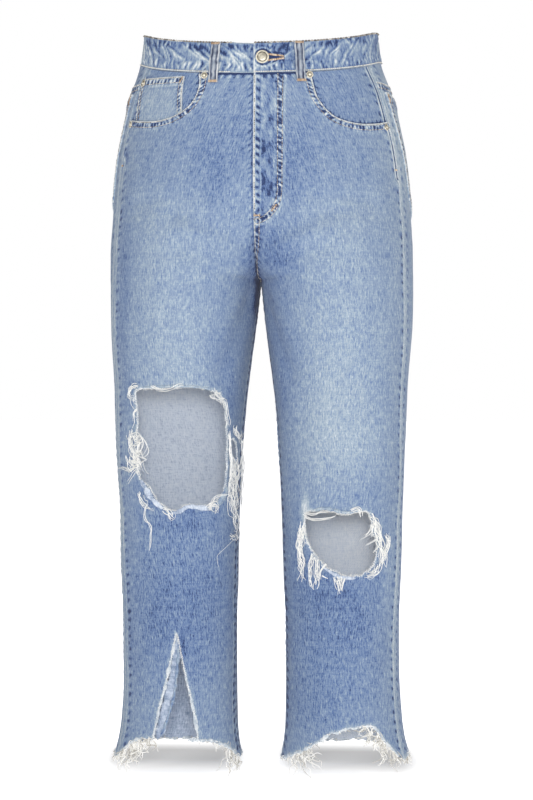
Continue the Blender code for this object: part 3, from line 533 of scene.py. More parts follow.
def respaced(line, step, closed=False):
    """The same line with its corners a step apart."""
    line = np.asarray(line, float)
    if closed:
        line = np.vstack([line, line[:1]])
    along = np.concatenate([[0], np.cumsum(np.hypot(*np.diff(line, axis=0).T))])
    count = max(2, int(round(along[-1] / step)))
    stops = np.linspace(0, along[-1], count + 1)
    evened = np.stack([np.interp(stops, along, line[:, axis]) for axis in range(line.shape[1])], axis=1)
    return evened[:-1] if closed else evened


def beside(line, off):
    """A line moved to its left."""
    line = np.asarray(line, float)
    ahead = np.gradient(line, axis=0)
    ahead /= np.linalg.norm(ahead, axis=1, keepdims=True)
    return line + off * np.stack([-ahead[:, 1], ahead[:, 0]], axis=1)


def measure(line, across, z, reach):
    """How far along a line each place is, and how far to its left; inf beyond the reach."""
    along, off = np.full(across.shape, np.inf), np.full(across.shape, np.inf)
    low, high = line.min(axis=0) - reach, line.max(axis=0) + reach
    near = np.flatnonzero((across > low[0]) & (across < high[0]) & (z > low[1]) & (z < high[1]))
    x, y = across[near], z[near]
    best = np.full(x.shape, reach)
    done = 0.0
    for (x1, y1), (x2, y2) in zip(line, line[1:]):
        run, climb = x2 - x1, y2 - y1
        length = math.hypot(run, climb)
        t = np.clip(((x - x1) * run + (y - y1) * climb) / length ** 2, 0, 1)
        dx, dy = x - x1 - t * run, y - y1 - t * climb
        distance = np.hypot(dx, dy)
        closer = distance < best
        best = np.where(closer, distance, best)
        left = np.sign(run * dy - climb * dx)
        spots = near[closer]
        along[spots] = done + t[closer] * length
        off[spots] = (np.where(left == 0, 1, left) * distance)[closer]
        done += length
    return along, off


def inside(outline, x, y):
    odd = np.zeros(x.shape, bool)
    for (x1, y1), (x2, y2) in zip(outline, np.roll(outline, -1, axis=0)):
        if y1 != y2:
            odd ^= ((y1 > y) != (y2 > y)) & (x < x1 + (y - y1) * (x2 - x1) / (y2 - y1))
    return odd


# === Cutting the pieces ===================================================================
COARSE = 0.0034              # spacing of a panel's corners
FINE = 0.0014                # and near its seams and edges
LINING = 0.0070              # and on its inner face
FINE_REACH = 0.011
EDGE_CLEAR = 0.6             # of a spacing, between the corners of an edge and the rest


def honeycomb(low, high, step):
    rows = np.arange(low[1], high[1], step * math.sqrt(3) / 2)
    columns = np.arange(low[0], high[0], step)
    x, y = np.meshgrid(columns, rows)
    return np.stack([(x + step / 2 * (np.arange(len(rows)) % 2)[:, None]).ravel(), y.ravel()], axis=1)


class Cut:
    """A piece of cloth cut to an outline with holes, divided finely near its seams."""

    def __init__(self, outline, holes=(), seams=(), coarse=COARSE, fine=FINE):
        self.loops = []
        places, joins, first = [], [], 0
        for loop in [outline, *holes]:
            indices = np.arange(first, first + len(loop))
            self.loops.append(indices)
            places.append(loop)
            joins += zip(indices.tolist(), np.roll(indices, -1).tolist())
            first += len(loop)
        edge = np.vstack(places)
        low, high = edge.min(axis=0), edge.max(axis=0)
        fill = honeycomb(low, high, coarse)
        if fine < coarse:
            dense = honeycomb(low, high, fine)
            lines = [np.vstack([respaced(loop, FINE_REACH, True), loop[:1]]) for loop in [outline, *holes]]
            lines += [seam.coarse for seam in seams]
            close_fill = self.near(lines, fill)
            fill = np.vstack([fill[~close_fill], dense[self.near(lines, dense)]])
        spacing = min(fine, coarse)
        tree = KDTree(len(edge))
        for index, (x, y) in enumerate(edge.tolist()):
            tree.insert((x, y, 0), index)
        tree.balance()
        clear = [tree.find((x, y, 0))[2] > EDGE_CLEAR * spacing for x, y in fill.tolist()]
        fill = fill[clear]
        fill = fill[inside(respaced(outline, 2 * coarse, True), *fill.T) | self.near(
            [np.vstack([outline, outline[:1]])], fill, coarse)]
        points = np.vstack([edge, fill])
        made = delaunay_2d_cdt([Vector(point) for point in points.tolist()], joins, [], 1, 1e-9)
        self.places = np.array([tuple(point) for point in made[0]])
        faces = np.array(made[2])
        for hole in holes:
            faces = faces[~inside(hole, *self.places[faces].mean(axis=1).T)]
        used, flat = np.unique(faces, return_inverse=True)
        self.count = len(edge)
        if used[self.count - 1] != self.count - 1:
            raise ValueError("an edge has lost a corner")
        self.places, self.faces = self.places[used], flat.reshape(faces.shape)
        a, b, c = (self.places[self.faces[:, i]] for i in range(3))
        turn = (b[:, 0] - a[:, 0]) * (c[:, 1] - a[:, 1]) - (b[:, 1] - a[:, 1]) * (c[:, 0] - a[:, 0])
        self.faces[turn < 0] = self.faces[turn < 0][:, ::-1]

    @staticmethod
    def near(lines, places, reach=FINE_REACH):
        close = np.zeros(len(places), bool)
        for line in lines:
            close |= np.isfinite(measure(line, *places.T, reach)[1])
        return close


def rough(line, step, height, seed):
    """A torn edge: the line, wavering by about the height."""
    line = respaced(line, step, True)
    count = np.arange(len(line))
    waver = ripple(count * step / 0.004, 0, seed) + 0.6 * ripple(count * step / 0.0017, 3, seed)
    closed = np.vstack([line[-1:], line, line[:1]])
    return line + (beside(closed, 1.0)[1:-1] - line) * (height * waver)[:, None]


# === Seams ================================================================================
# rows: how far from the edge it is stitched. band: where the layers below it show, and how
# far it is raised. pitch, depth: of its puckers. edge, rope, shade: how much paler its worn
# edge is (below 0, a line of painted shade along it), how much its puckers are worn, and how
# dark the painted shade on the line beyond the band is. lines: other worn lines along it, as
# their distance from the edge, width and fading. mottle: how much the wear of its band varies
# besides. tone: how much paler the whole band is.
COMMON = dict(rows=(), lift=0.0002, depth=0.0004, shade=0.0, mottle=0.0, tone=0.0, lines=())
KINDS = {
    "mouth": dict(rows=(0.0017, 0.0078), band=(0.0026, 0.0082), lift=0.0008, pitch=0.0052,
        edge=0.95, rope=(0.44, 0.62), shade=0.10, mottle=0.60, tone=-0.12,
        lines=((0.005, 0.001, 0.10), (0.0104, 0.0016, 0.20))),
    "coin": dict(rows=(0.0015, 0.008), band=(0.0024, 0.0082), lift=0.0004, pitch=0.006, edge=0.80,
        rope=(0.56, 0.76), shade=0.10, mottle=0.60, tone=-0.12,
        lines=((0.0112, 0.0016, 0.30), (0.0136, 0.0014, -0.20))),
    "coin side": dict(rows=(0.0013, 0.0058), band=(0.0022, 0.0066), lift=0.0003, pitch=0.0052,
        depth=0.0003, edge=0.85, rope=(0.36, 0.80), shade=0.12, mottle=0.60, tone=-0.12),
    # under: its negative edge paints the shade beneath a pocket's edge on the cloth below it
    "under": dict(band=(0.0, 0.005), lift=0.0, pitch=0.008, depth=0.0, edge=-0.60,
        rope=(0.10, 0.30)),
    "outseam right": dict(band=(0.014, 0.0205), pitch=0.011, depth=0.0005, edge=0.30,
        rope=(0.10, 0.60), shade=0.06, lines=((0.0105, 0.0009, 0.46), (0.007, 0.0008, 0.26))),
    "outseam left": dict(band=(0.0022, 0.0062), pitch=0.013, edge=0.55, rope=(0.10, 0.60),
        shade=0.06, mottle=0.16),
    "outseam back": dict(band=(0.01, 0.016), pitch=0.011, edge=0.44, rope=(0.14, 0.50), shade=0.06,
        lines=((0.0034, 0.0008, 0.42), (0.007, 0.0008, 0.40))),
    "outseam top": dict(band=(0.0086, 0.013), pitch=0.014, depth=0.0005, edge=0.90,
        rope=(0.10, 0.50), mottle=0.16, lines=((0.0034, 0.0013, -0.95), (0.0062, 0.0011, 0.80))),
    "outseam plain": dict(band=(0.0034, 0.009), pitch=0.013, edge=0.30, rope=(0.14, 0.34),
        lines=((0.0075, 0.0009, 0.22),)),
    "inseam right": dict(band=(0.0012, 0.0066), pitch=0.0116, edge=0.10, rope=(0.24, 0.80),
        shade=0.04, mottle=0.16, tone=-0.22, lines=((0.0096, 0.0014, 0.36),)),
    "inseam left": dict(band=(0.01, 0.0165), pitch=0.0116, edge=0.20, rope=(0.20, 0.90), shade=0.08,
        mottle=0.16, tone=-0.14, lines=((0.0066, 0.0016, 0.38),)),
    "inseam back": dict(band=(0.0012, 0.0076), pitch=0.0104, depth=0.0005, edge=0.10,
        rope=(0.14, 0.95), shade=0.04, lines=((0.0104, 0.0014, 0.30),)),
    "fly": dict(rows=(0.0014,), band=(0.003, 0.0078), lift=0.0008, pitch=0.0108, depth=0.0005,
        edge=1.10, rope=(0.36, 0.62), shade=0.24,
        lines=((0.0092, 0.0008, 0.50), (0.0018, 0.0007, 0.50))),
    "fly turn": dict(rows=(-0.0028, 0.0028), band=(-0.0034, 0.0034), lift=0.0003, pitch=0.0058,
        depth=0.0003, edge=-0.20, rope=(0.32, 0.42), shade=0.10, mottle=0.80, tone=-0.08,
        lines=((-0.0056, 0.0014, 0.26), (0.0064, 0.0014, 0.20))),
    "rise": dict(rows=(0.0016, 0.0076), band=(0.0022, 0.008), lift=0.0006, pitch=0.0066, edge=0.70,
        rope=(0.40, 0.80), shade=0.16, mottle=0.50, tone=-0.10),
    "rise under": dict(band=(0.002, 0.006), lift=0.0, pitch=0.008, depth=0.0003, edge=-0.35,
        rope=(0.10, 0.30)),
    "yoke": dict(rows=(0.0016, 0.0076), band=(0.0026, 0.0078), lift=0.0006, pitch=0.0066, edge=0.80,
        rope=(0.36, 0.70), shade=0.14, mottle=0.50, tone=-0.10),
    "patch": dict(rows=(0.0016, 0.0076), band=(0.0026, 0.0078), lift=0.0003, pitch=0.0068,
        edge=0.90, rope=(0.36, 0.70), shade=0.20, mottle=0.50, tone=-0.10),
    "patch top": dict(rows=(0.012, 0.0022), band=(0.0034, 0.0112), lift=0.0006, pitch=0.007,
        depth=0.0003, edge=0.70, rope=(0.30, 0.70), shade=0.24, mottle=0.35),
    # waist: its negative edge and line paint the shade under the waistband
    "waist": dict(band=(0.0, 0.007), lift=0.0, pitch=0.011, depth=0.0005, edge=-1.20,
        rope=(0.30, 0.34), lines=((0.0022, 0.001, -0.50),)),
}
SEAM_STEP = 0.004            # a seam's corners are this far apart
EDGE_AT = 0.0009             # the worn line along an edge
EDGE_REACH = 0.0010
BAND_EASE = 0.0014
SHADE_REACH = 0.0016
PULL_REACH = 0.0045          # puckers run on this far past a band
SEAM_BEFORE = 0.004          # and this far before the edge
PUCKER_LEAN = 0.3            # puckers slant across the seam by this much
MOTTLE_SIZE = (0.0026, 0.0030)
LINE_WAVER = 0.0006


class Seam:
    """A sewn line on one side of the jeans. The cloth that it finishes lies to its left."""

    def __init__(self, kind, line, seed):
        self.kind, self.seed = {**COMMON, **KINDS[kind]}, seed
        self.line = respaced(line, SEAM_STEP)
        self.coarse = respaced(line, 3 * SEAM_STEP)

    def puckers(self, along, off):
        """Uneven humps along the seam, from -1 to 1."""
        turn = (along + PUCKER_LEAN * off) / self.kind["pitch"]
        uneven = (0.80 + 0.36 * ripple(turn * 0.8, 7.5, self.seed)
                  + 0.16 * ripple(along / 0.034, 3.5, self.seed))
        shift = 0.50 * ripple(turn * 0.47, 0.5, self.seed) + 0.14 * ripple(turn * 1.3, 1.5, self.seed)
        return np.sin(2 * np.pi * (turn + shift)) * uneven

    def shape(self, across, z):
        """What the seam adds to the cloth's height and to its fading, its painted shade included."""
        kind = self.kind
        low, high = kind["band"]
        reach = high + 3 * PULL_REACH
        along, off = measure(self.line, across, z, reach)
        near = np.isfinite(off)
        height, fade = np.zeros(across.shape), np.zeros(across.shape)
        along, off = along[near], off[near]
        humps = self.puckers(along, off)
        within = smooth((high - off) / BAND_EASE + 0.5)
        in_band = smooth((off - low) / BAND_EASE + 0.5) * within
        past = np.where(off > high, np.exp(-(off - high) / PULL_REACH), 0.0)
        past = past * smooth((off - high) / BAND_EASE)
        raised = within * smooth((off + SEAM_BEFORE) / SEAM_BEFORE)
        height[near] = kind["lift"] * raised + kind["depth"] * humps * (in_band + 0.6 * past)
        pale, dark = kind["rope"]
        # painted shade: shade darkens the line just beyond the band, and a negative edge paints shade along
        # the edge
        fade[near] = (np.where(humps > 0, pale, dark) * humps * (in_band + 0.3 * past)
                      + kind["edge"] * bell(off, EDGE_AT, EDGE_REACH)
                      - kind["shade"] * bell(off - high, EDGE_AT, SHADE_REACH))
        if kind["mottle"]:
            spots = ripple(along / MOTTLE_SIZE[0], off / MOTTLE_SIZE[1], self.seed + 40)
            fade[near] += kind["mottle"] * spots * (in_band + 0.3 * past) + kind["tone"] * in_band
        for at, wide, amount in kind["lines"]:
            waver = at + LINE_WAVER * ripple(along / 0.0060, at * 900, self.seed)
            worn = 0.75 + 0.5 * ripple(along / 0.012, at * 500, self.seed)
            fade[near] += amount * worn * bell(off, waver, wide)
        return height, fade


def mouth_line(side, step=FINE):
    corner = (POCKET_FRACTION * float(SKIN.width("front", MOUTH_TOP_Z)), MOUTH_TOP_Z)
    return respaced(curve_through(POCKET_MOUTH[side] + (corner,), CORNER_STEPS), step)


def facing_line(step=FINE):
    corner = (FACING_FRACTION * float(SKIN.width("front", FACING_TOP_Z)), FACING_TOP_Z)
    return respaced(curve_through(FACING_EDGE + (corner,), CORNER_STEPS), step)


def inner_line(part, top, bottom, step=FINE):
    """The edge of a panel at the centre seam and the inseam, going down."""
    z = np.linspace(top, bottom, max(2, int((top - bottom) / step)))
    return np.stack([FORWARD[part] * (SKIN.width(part, z) - HALF_GAP), z], axis=1)


def waist_line(part, start, end, step=FINE):
    """The upper edge of a front or a yoke between two fractions of its width."""
    fraction = np.linspace(start, end, max(2, int(abs(end - start) * 0.17 / step)))
    z = waist_seam(part, fraction) - HALF_GAP
    reach = SKIN.width(part, z) - HALF_GAP
    return np.stack([FORWARD[part] * (HALF_GAP + fraction * (reach - HALF_GAP)), z], axis=1)


def yoke_line(offset, step=FINE):
    """The yoke's lower seam from the outseam to the centre back."""
    fraction = np.linspace(0, 1, int(0.24 / step))
    z = YOKE_SIDE_Z + (YOKE_CENTRE_Z - YOKE_SIDE_Z) * fraction ** YOKE_BEND + offset
    reach = SKIN.width("back", z) - HALF_GAP
    return np.stack([-(HALF_GAP + fraction * (reach - HALF_GAP)), z], axis=1)


def hem_line(part, side, start, end, step=FINE):
    """A worn hem between two fractions of the panel's width, a little uneven."""
    fraction = np.linspace(start, end, max(3, int(abs(end - start) * 0.25 / step)))
    z = hem(part, side, fraction)
    from_ends = np.minimum(fraction, 1 - fraction)
    seed = {"front": 1, "back": 2}[part] + {"left": 10, "right": 20}[side]
    z = z + 0.0016 * ripple(fraction * 60, 0, seed) * smooth(from_ends / 0.03)
    across = across_at(part, fraction, z)
    limit = SKIN.width(part, z) - HALF_GAP
    return np.stack([FORWARD[part] * np.clip(np.abs(across), HALF_GAP, limit), z], axis=1)


def joined(*lines):
    """One closed outline from lines laid end to end."""
    points = np.vstack(lines)
    steps = np.hypot(*(points - np.roll(points, 1, axis=0)).T)
    return points[steps > 1e-5]


def fly_turn(inset=0.003):
    """The edge of the fly's facing, going down, or a line this far within it."""
    z = np.linspace(waist_seam("front", 1) - 0.002, FLY_TURN_Z, 20)
    straight = np.stack([SKIN.width("front", z) - FLY_WIDTH + inset, z], axis=1)
    angle = np.linspace(0, np.pi / 2, 16)[1:]
    z = FLY_TURN_Z + (FLY_FOOT_Z + inset - FLY_TURN_Z) * np.sin(angle)
    turn = np.stack([SKIN.width("front", z) - (FLY_WIDTH - inset) * np.cos(angle), z], axis=1)
    return np.vstack([straight, turn])


OUTSEAM_TOPSTITCH_END = {"left": -0.158, "right": -0.150}
OUTSEAM_TOP = {"left": "outseam top", "right": "outseam plain"}    # its kind above that
BELOW_HEMS_Z = -0.93


def down_outseam(top, bottom, count):
    return np.array([(0.0, z) for z in np.linspace(top, bottom, count)])


def front_seams(side):
    mouth = mouth_line(side)
    top = OUTSEAM_TOPSTITCH_END[side]
    outseam = down_outseam(mouth[0][1], BELOW_HEMS_Z, 60)
    seams = [
        Seam("mouth", mouth[::-1], 1),
        Seam(f"outseam {side}", outseam[outseam[:, 1] < top], 2),
        Seam(OUTSEAM_TOP[side], outseam[outseam[:, 1] >= top - 0.012], 3),
        Seam(f"inseam {side}", inner_line("front", CROTCH_Z, BELOW_HEMS_Z)[::-1], 4),
        Seam("waist", waist_line("front", 1.0, POCKET_FRACTION), 5),
    ]
    if side == "left":
        seams += [
            Seam("fly", inner_line("front", waist_seam("front", 1.0), FLY_FOOT_Z + 0.018)[::-1], 6),
            Seam("fly turn", fly_turn(), 7),
            Seam("rise", inner_line("front", FLY_FOOT_Z + 0.014, CROTCH_Z + 0.004)[::-1], 8),
        ]
    else:
        seams.append(Seam("rise under", inner_line("front", waist_seam("front", 1.0), CROTCH_Z)[::-1], 9))
    return seams


def facing_seams(side):
    return [Seam(OUTSEAM_TOP[side], down_outseam(-0.026, -0.120, 20), 3)]


def back_seams(side):
    rise = inner_line("back", YOKE_CENTRE_Z, CROTCH_Z)
    return [
        Seam("yoke", yoke_line(-HALF_GAP), 11),
        Seam("rise" if side == "left" else "rise under", rise, 12),
        Seam("inseam back", inner_line("back", CROTCH_Z, BELOW_HEMS_Z), 13),
        Seam("outseam back", down_outseam(BELOW_HEMS_Z, YOKE_SIDE_Z, 60), 14),
    ]


# === How the cloth is dressed =============================================================
SWAY = 0.0011                # soft unevenness of the cloth, on top of its creases
SWAY_SIZE = (0.050, 0.085)   # across and up
CRUMPLE = 0.00022
CRUMPLE_SIZE = 0.011
CREASE_WEAR = 60.0           # how much paler a ridge is for each metre of its height
SIDE_SEED = {"left": 31, "right": 57}
FLY_WORN_IN = 0.0096         # the wear over the fly starts this far from its edge,
FLY_WORN_OUT = 0.0050        # ends this far short of its width,
FLY_WORN_FOOT = 0.014        # and this far below where its rows turn
FLY_WORN_EASES = (0.0020, 0.0030, 0.010)
FLY_UNWORN = (0.034, 0.030)  # it is darker from this far above there, over this reach


def fly_mottle(across, z):
    """The uneven wear of the cloth over the fly, between its edge and the curved rows."""
    from_edge = SKIN.width("front", z) - across
    ease_in, ease_out, ease_foot = FLY_WORN_EASES
    over = (smooth((from_edge - FLY_WORN_IN) / ease_in)
            * smooth((FLY_WIDTH - FLY_WORN_OUT - from_edge) / ease_out)
            * smooth((z - FLY_TURN_Z + FLY_WORN_FOOT) / ease_foot))
    low = smooth((FLY_TURN_Z + FLY_UNWORN[0] - z) / FLY_UNWORN[1])
    blots = (0.20 * ripple(from_edge / 0.0068, z / 0.017, 61)
             + 0.24 * ripple(from_edge / 0.0024, z / 0.0110, 62))
    # pale creases run out from its foot
    foot = np.hypot(from_edge - 0.012, (z - FLY_FOOT_Z - 0.008) / 1.4)
    rays = 0.22 * ripple(from_edge / 0.0030, z / 0.0120, 63) * bell(foot, 0, 0.016)
    return over * (blots - 0.04 - 0.18 * low) + rays


def dress(side, across, z, seams=()):
    """The height and the fading that creases, seams and wear give to places on one side, with the painted
    shade of the crotch and of the seams.
    """
    seed = SIDE_SEED[side]
    height = SWAY * ripple(across / SWAY_SIZE[0], z / SWAY_SIZE[1], seed)
    height += CRUMPLE * ripple(across / CRUMPLE_SIZE, z / CRUMPLE_SIZE, seed + 1)
    fade = np.full(across.shape, FADE_BASE)
    for own, *where, amount in FADING_AND_SHADE:
        if own in ("both", side):
            fade += amount * spot_mark(across, z, *where)
    for own, *line, peak in CREASES:
        if own in ("both", side):
            mark, along = stroke(across, z, *line)
            uneven = 0.7 + 0.3 * ripple(along * 4, line[0] * 90, seed)
            mark = mark * uneven * np.sin(np.pi * (0.1 + 0.8 * along))
            height += peak * mark
            fade += CREASE_WEAR * peak * mark
    if side == "left":
        fade += fly_mottle(across, z)
    for seam in seams:
        more_height, more_fade = seam.shape(across, z)
        height += more_height
        fade += more_fade
    return height, fade


# === Meshes ===============================================================================
def finish_mesh(name, points, faces, wear, pattern, materials, face_materials=None, sharp=50):
    """An object from arrays. faces is a list of arrays of triangles or of quads."""
    mesh = bpy.data.meshes.new(name)
    loops = np.concatenate([part.ravel() for part in faces])
    sizes = np.concatenate([np.full(len(part), part.shape[1]) for part in faces])
    mesh.vertices.add(len(points))
    mesh.vertices.foreach_set("co", points.ravel())
    mesh.loops.add(len(loops))
    mesh.loops.foreach_set("vertex_index", loops)
    mesh.polygons.add(len(sizes))
    mesh.polygons.foreach_set("loop_start", np.concatenate([[0], np.cumsum(sizes)[:-1]]))
    if face_materials is not None:
        mesh.polygons.foreach_set("material_index", np.concatenate(
            [np.full(len(part), slot) for part, slot in zip(faces, face_materials)]))
    mesh.update(calc_edges=True)
    colour = mesh.attributes.new("WearAndPaintedLight", "FLOAT_COLOR", "POINT")
    colour.data.foreach_set("color", np.column_stack([wear, np.ones(len(points))]).ravel())
    uv = mesh.uv_layers.new(name="Pattern")
    uv.data.foreach_set("uv", pattern[loops].ravel())
    for made in materials:
        mesh.materials.append(made)
    mesh.shade_smooth()
    mesh.set_sharp_from_angle(angle=math.radians(sharp))
    piece = bpy.data.objects.new(name, mesh)
    bpy.context.scene.collection.objects.link(piece)
    return piece


def tube(rows, sides):
    """The faces of rings of places joined end to end: the walls, and a cap at each end."""
    index = np.arange(rows * sides).reshape(rows, sides)
    over = np.roll(index, -1, axis=1)
    walls = np.stack([index[:-1], over[:-1], over[1:], index[1:]], axis=-1).reshape(-1, 4)
    return walls, np.stack([index[0][::-1], index[-1]])


TORN_REACH = 0.008           # a torn edge is paler this far in at most
TORN_WHITE = 0.0010          # white this far in, where it is
TORN_PALE = 0.0032           # and softly pale
# The top of the slit is only slashed on its inner side: across, z, reach, reach up
SLASHED = (0.0985, -0.775, 0.0055, 0.018)


def wear_of(fade, white=0.0, tone=0.0):
    return np.stack(np.broadcast_arrays(np.asarray(fade, float), white, tone), axis=-1)


INSIDE_BASE = 0.5            # the fading of the reverse
#   Painted light and shade on the reverse: paler behind the knee holes, where the front shades it,
#   and near the wearer's-left hem, darker near the wearer's-right hem.
#     wearer's side, across, z, reach, reach up, amount
INSIDE_PAINTED_LIGHT = (
    ("right", -0.100, -0.880, 0.120, 0.090, -0.34),
    ("left", -0.100, -0.900, 0.120, 0.050, 0.10),
    ("left", -0.110, -0.640, 0.090, 0.060, 0.30),
    ("left", -0.110, -0.600, 0.080, 0.016, 0.20),
    ("right", -0.110, -0.442, 0.090, 0.018, 0.20),
)


def inside_fade_and_painted_light(side, across, z):
    fade = np.full(across.shape, INSIDE_BASE)
    for own, *where, amount in INSIDE_PAINTED_LIGHT:
        if own == side:
            fade += amount * spot_mark(across, z, *where)
    return fade


def shell(name, side, cut, lining, seams, outer=0.0, torn=(), fade_shift=0.0):
    """A panel with an outer face, a plainer inner face and a rim between them."""
    across, z = cut.places.T
    height, fade = dress(side, across, z, seams)
    white = np.zeros(len(across))
    for loop in torn:
        distance = np.abs(measure(np.vstack([loop, loop[:1]]), across, z, TORN_REACH)[1])
        near = np.isfinite(distance)
        patchy = smooth(0.42 + 0.85 * ripple(across / 0.009, z / 0.009, 17)
                        + 0.35 * ripple(across / 0.003, z / 0.003, 5))
        white = np.maximum(white, np.where(near, np.exp(-distance / TORN_WHITE) * patchy, 0))
        fade = fade + np.where(near, 0.22 * bell(distance, 0, TORN_PALE), 0)
    if side == "right":
        slashed = spot_mark(across, z, *SLASHED)
        white, fade = white * (1 - slashed), fade - 0.35 * slashed
    under_across, under_z = lining.places.T
    under_height = np.minimum(dress(side, under_across, under_z, seams)[0], 0)
    top = place(side, across, z, outer + height)
    under = place(side, under_across, under_z, outer - WALL + under_height)
    first = len(top)
    out_faces = cut.faces if side == "right" else cut.faces[:, ::-1]
    in_faces = (lining.faces[:, ::-1] if side == "right" else lining.faces) + first
    rims = []
    for loop in cut.loops:
        start, end = loop, np.roll(loop, -1)
        rim = np.stack([end, start, start + first, end + first], axis=1)
        rims.append(rim if side == "right" else rim[:, ::-1])
    points = np.vstack([top, under])
    pattern = np.vstack([cut.places, lining.places])
    wear = np.vstack([wear_of(fade + fade_shift, white),
                      wear_of(inside_fade_and_painted_light(side, under_across, under_z))])
    return finish_mesh(name, points, [out_faces, in_faces, np.vstack(rims)], wear, pattern,
                       CLOTH, (0, 1, 0))


# === Finishes =============================================================================
def srgb(red, green, blue):
    """A colour from screen values out of 255."""
    return tuple(
        v / 12.92 if v <= 0.04045 else ((v + 0.055) / 1.055) ** 2.4
        for v in (red / 255, green / 255, blue / 255)) + (1.0,)


# From unworn to bleached
DENIM_RAMP = (
    (0.00, (48, 62, 100)),
    (0.12, (75, 96, 140)),
    (0.24, (98, 121, 161)),
    (0.45, (128, 147, 175)),
    (0.70, (160, 175, 189)),
    (0.90, (184, 195, 204)),
    (1.00, (212, 217, 220)),
)
INSIDE_RAMP = (
    (0.00, (128, 144, 170)),
    (0.25, (172, 184, 204)),
    (0.50, (212, 220, 232)),
    (1.00, (240, 243, 247)),
)
WHITE_THREAD = (240, 242, 243)
# To the metre, across and up
GRAIN = (540.0, 300.0)
SLUBS = (600.0, 105.0)
CLOUDS = (64.0, 17.0)
# Pale and dark lines that washing leaves, with how strong they are
CRACKLES = (((230.0, 120.0), 0.20), ((230.0 * 0.83, 120.0 * 1.1), -0.14))
CRACKLE_WIDTH = 0.050
THREADS_PER_METRE = 1250.0   # of the twill's ribs
TWILL_SLOPE = 0.6


class Nodes:
    """A short way to write a material's node tree."""

    def __init__(self, name):
        self.material = bpy.data.materials.new(name)
        self.material.use_nodes = True
        self.tree = self.material.node_tree
        self.shader = self.tree.nodes["Principled BSDF"]

    def add(self, kind, **settings):
        node = self.tree.nodes.new(kind)
        for key, value in settings.items():
            setattr(node, key, value)
        return node

    def wire(self, source, socket):
        self.tree.links.new(source, socket)

    def put(self, socket, value):
        if isinstance(value, bpy.types.NodeSocket):
            self.wire(value, socket)
        else:
            socket.default_value = value

    def wear(self):
        """What comes with the mesh: how worn it is, with painted light and shade in places, and how torn."""
        wear = self.add("ShaderNodeAttribute", attribute_name="WearAndPaintedLight")
        channels = self.add("ShaderNodeSeparateColor")
        self.wire(wear.outputs["Color"], channels.inputs[0])
        return channels.outputs[0], channels.outputs[1]

    def maths(self, operation, first, second=0.0, third=0.0):
        node = self.add("ShaderNodeMath", operation=operation)
        for socket, value in zip(node.inputs, (first, second, third)):
            self.put(socket, value)
        return node.outputs[0]

    def mix(self, factor, first, second):
        node = self.add("ShaderNodeMix", data_type="RGBA")
        self.put(node.inputs["Factor"], factor)
        self.put(node.inputs[6], first)
        self.put(node.inputs[7], second)
        return node.outputs[2]

    def noise(self, vector, scale, detail=2.0, rough=0.5):
        """Noise about 0. The scale is to the metre, alike or (across, up)."""
        stretch = self.add("ShaderNodeMapping")
        self.wire(vector, stretch.inputs["Vector"])
        across, up = scale if isinstance(scale, tuple) else (scale, scale)
        stretch.inputs["Scale"].default_value = (across, up, across)
        node = self.add("ShaderNodeTexNoise", noise_dimensions="3D")
        self.wire(stretch.outputs[0], node.inputs["Vector"])
        node.inputs["Scale"].default_value = 1.0
        node.inputs["Detail"].default_value = detail
        node.inputs["Roughness"].default_value = rough
        return self.maths("SUBTRACT", node.outputs[0], 0.5)

    def ramp(self, factor, stops):
        node = self.add("ShaderNodeValToRGB")
        self.put(node.inputs[0], factor)
        elements = node.color_ramp.elements
        while len(elements) < len(stops):
            elements.new(0.5)
        for element, (position, colour) in zip(elements, stops):
            element.position, element.color = position, srgb(*colour)
        return node.outputs[0]

    def bump(self, height, distance, strength=1.0, normal=None):
        node = self.add("ShaderNodeBump")
        node.inputs["Distance"].default_value = distance
        node.inputs["Strength"].default_value = strength
        self.wire(height, node.inputs["Height"])
        if normal is not None:
            self.wire(normal, node.inputs["Normal"])
        return node.outputs[0]


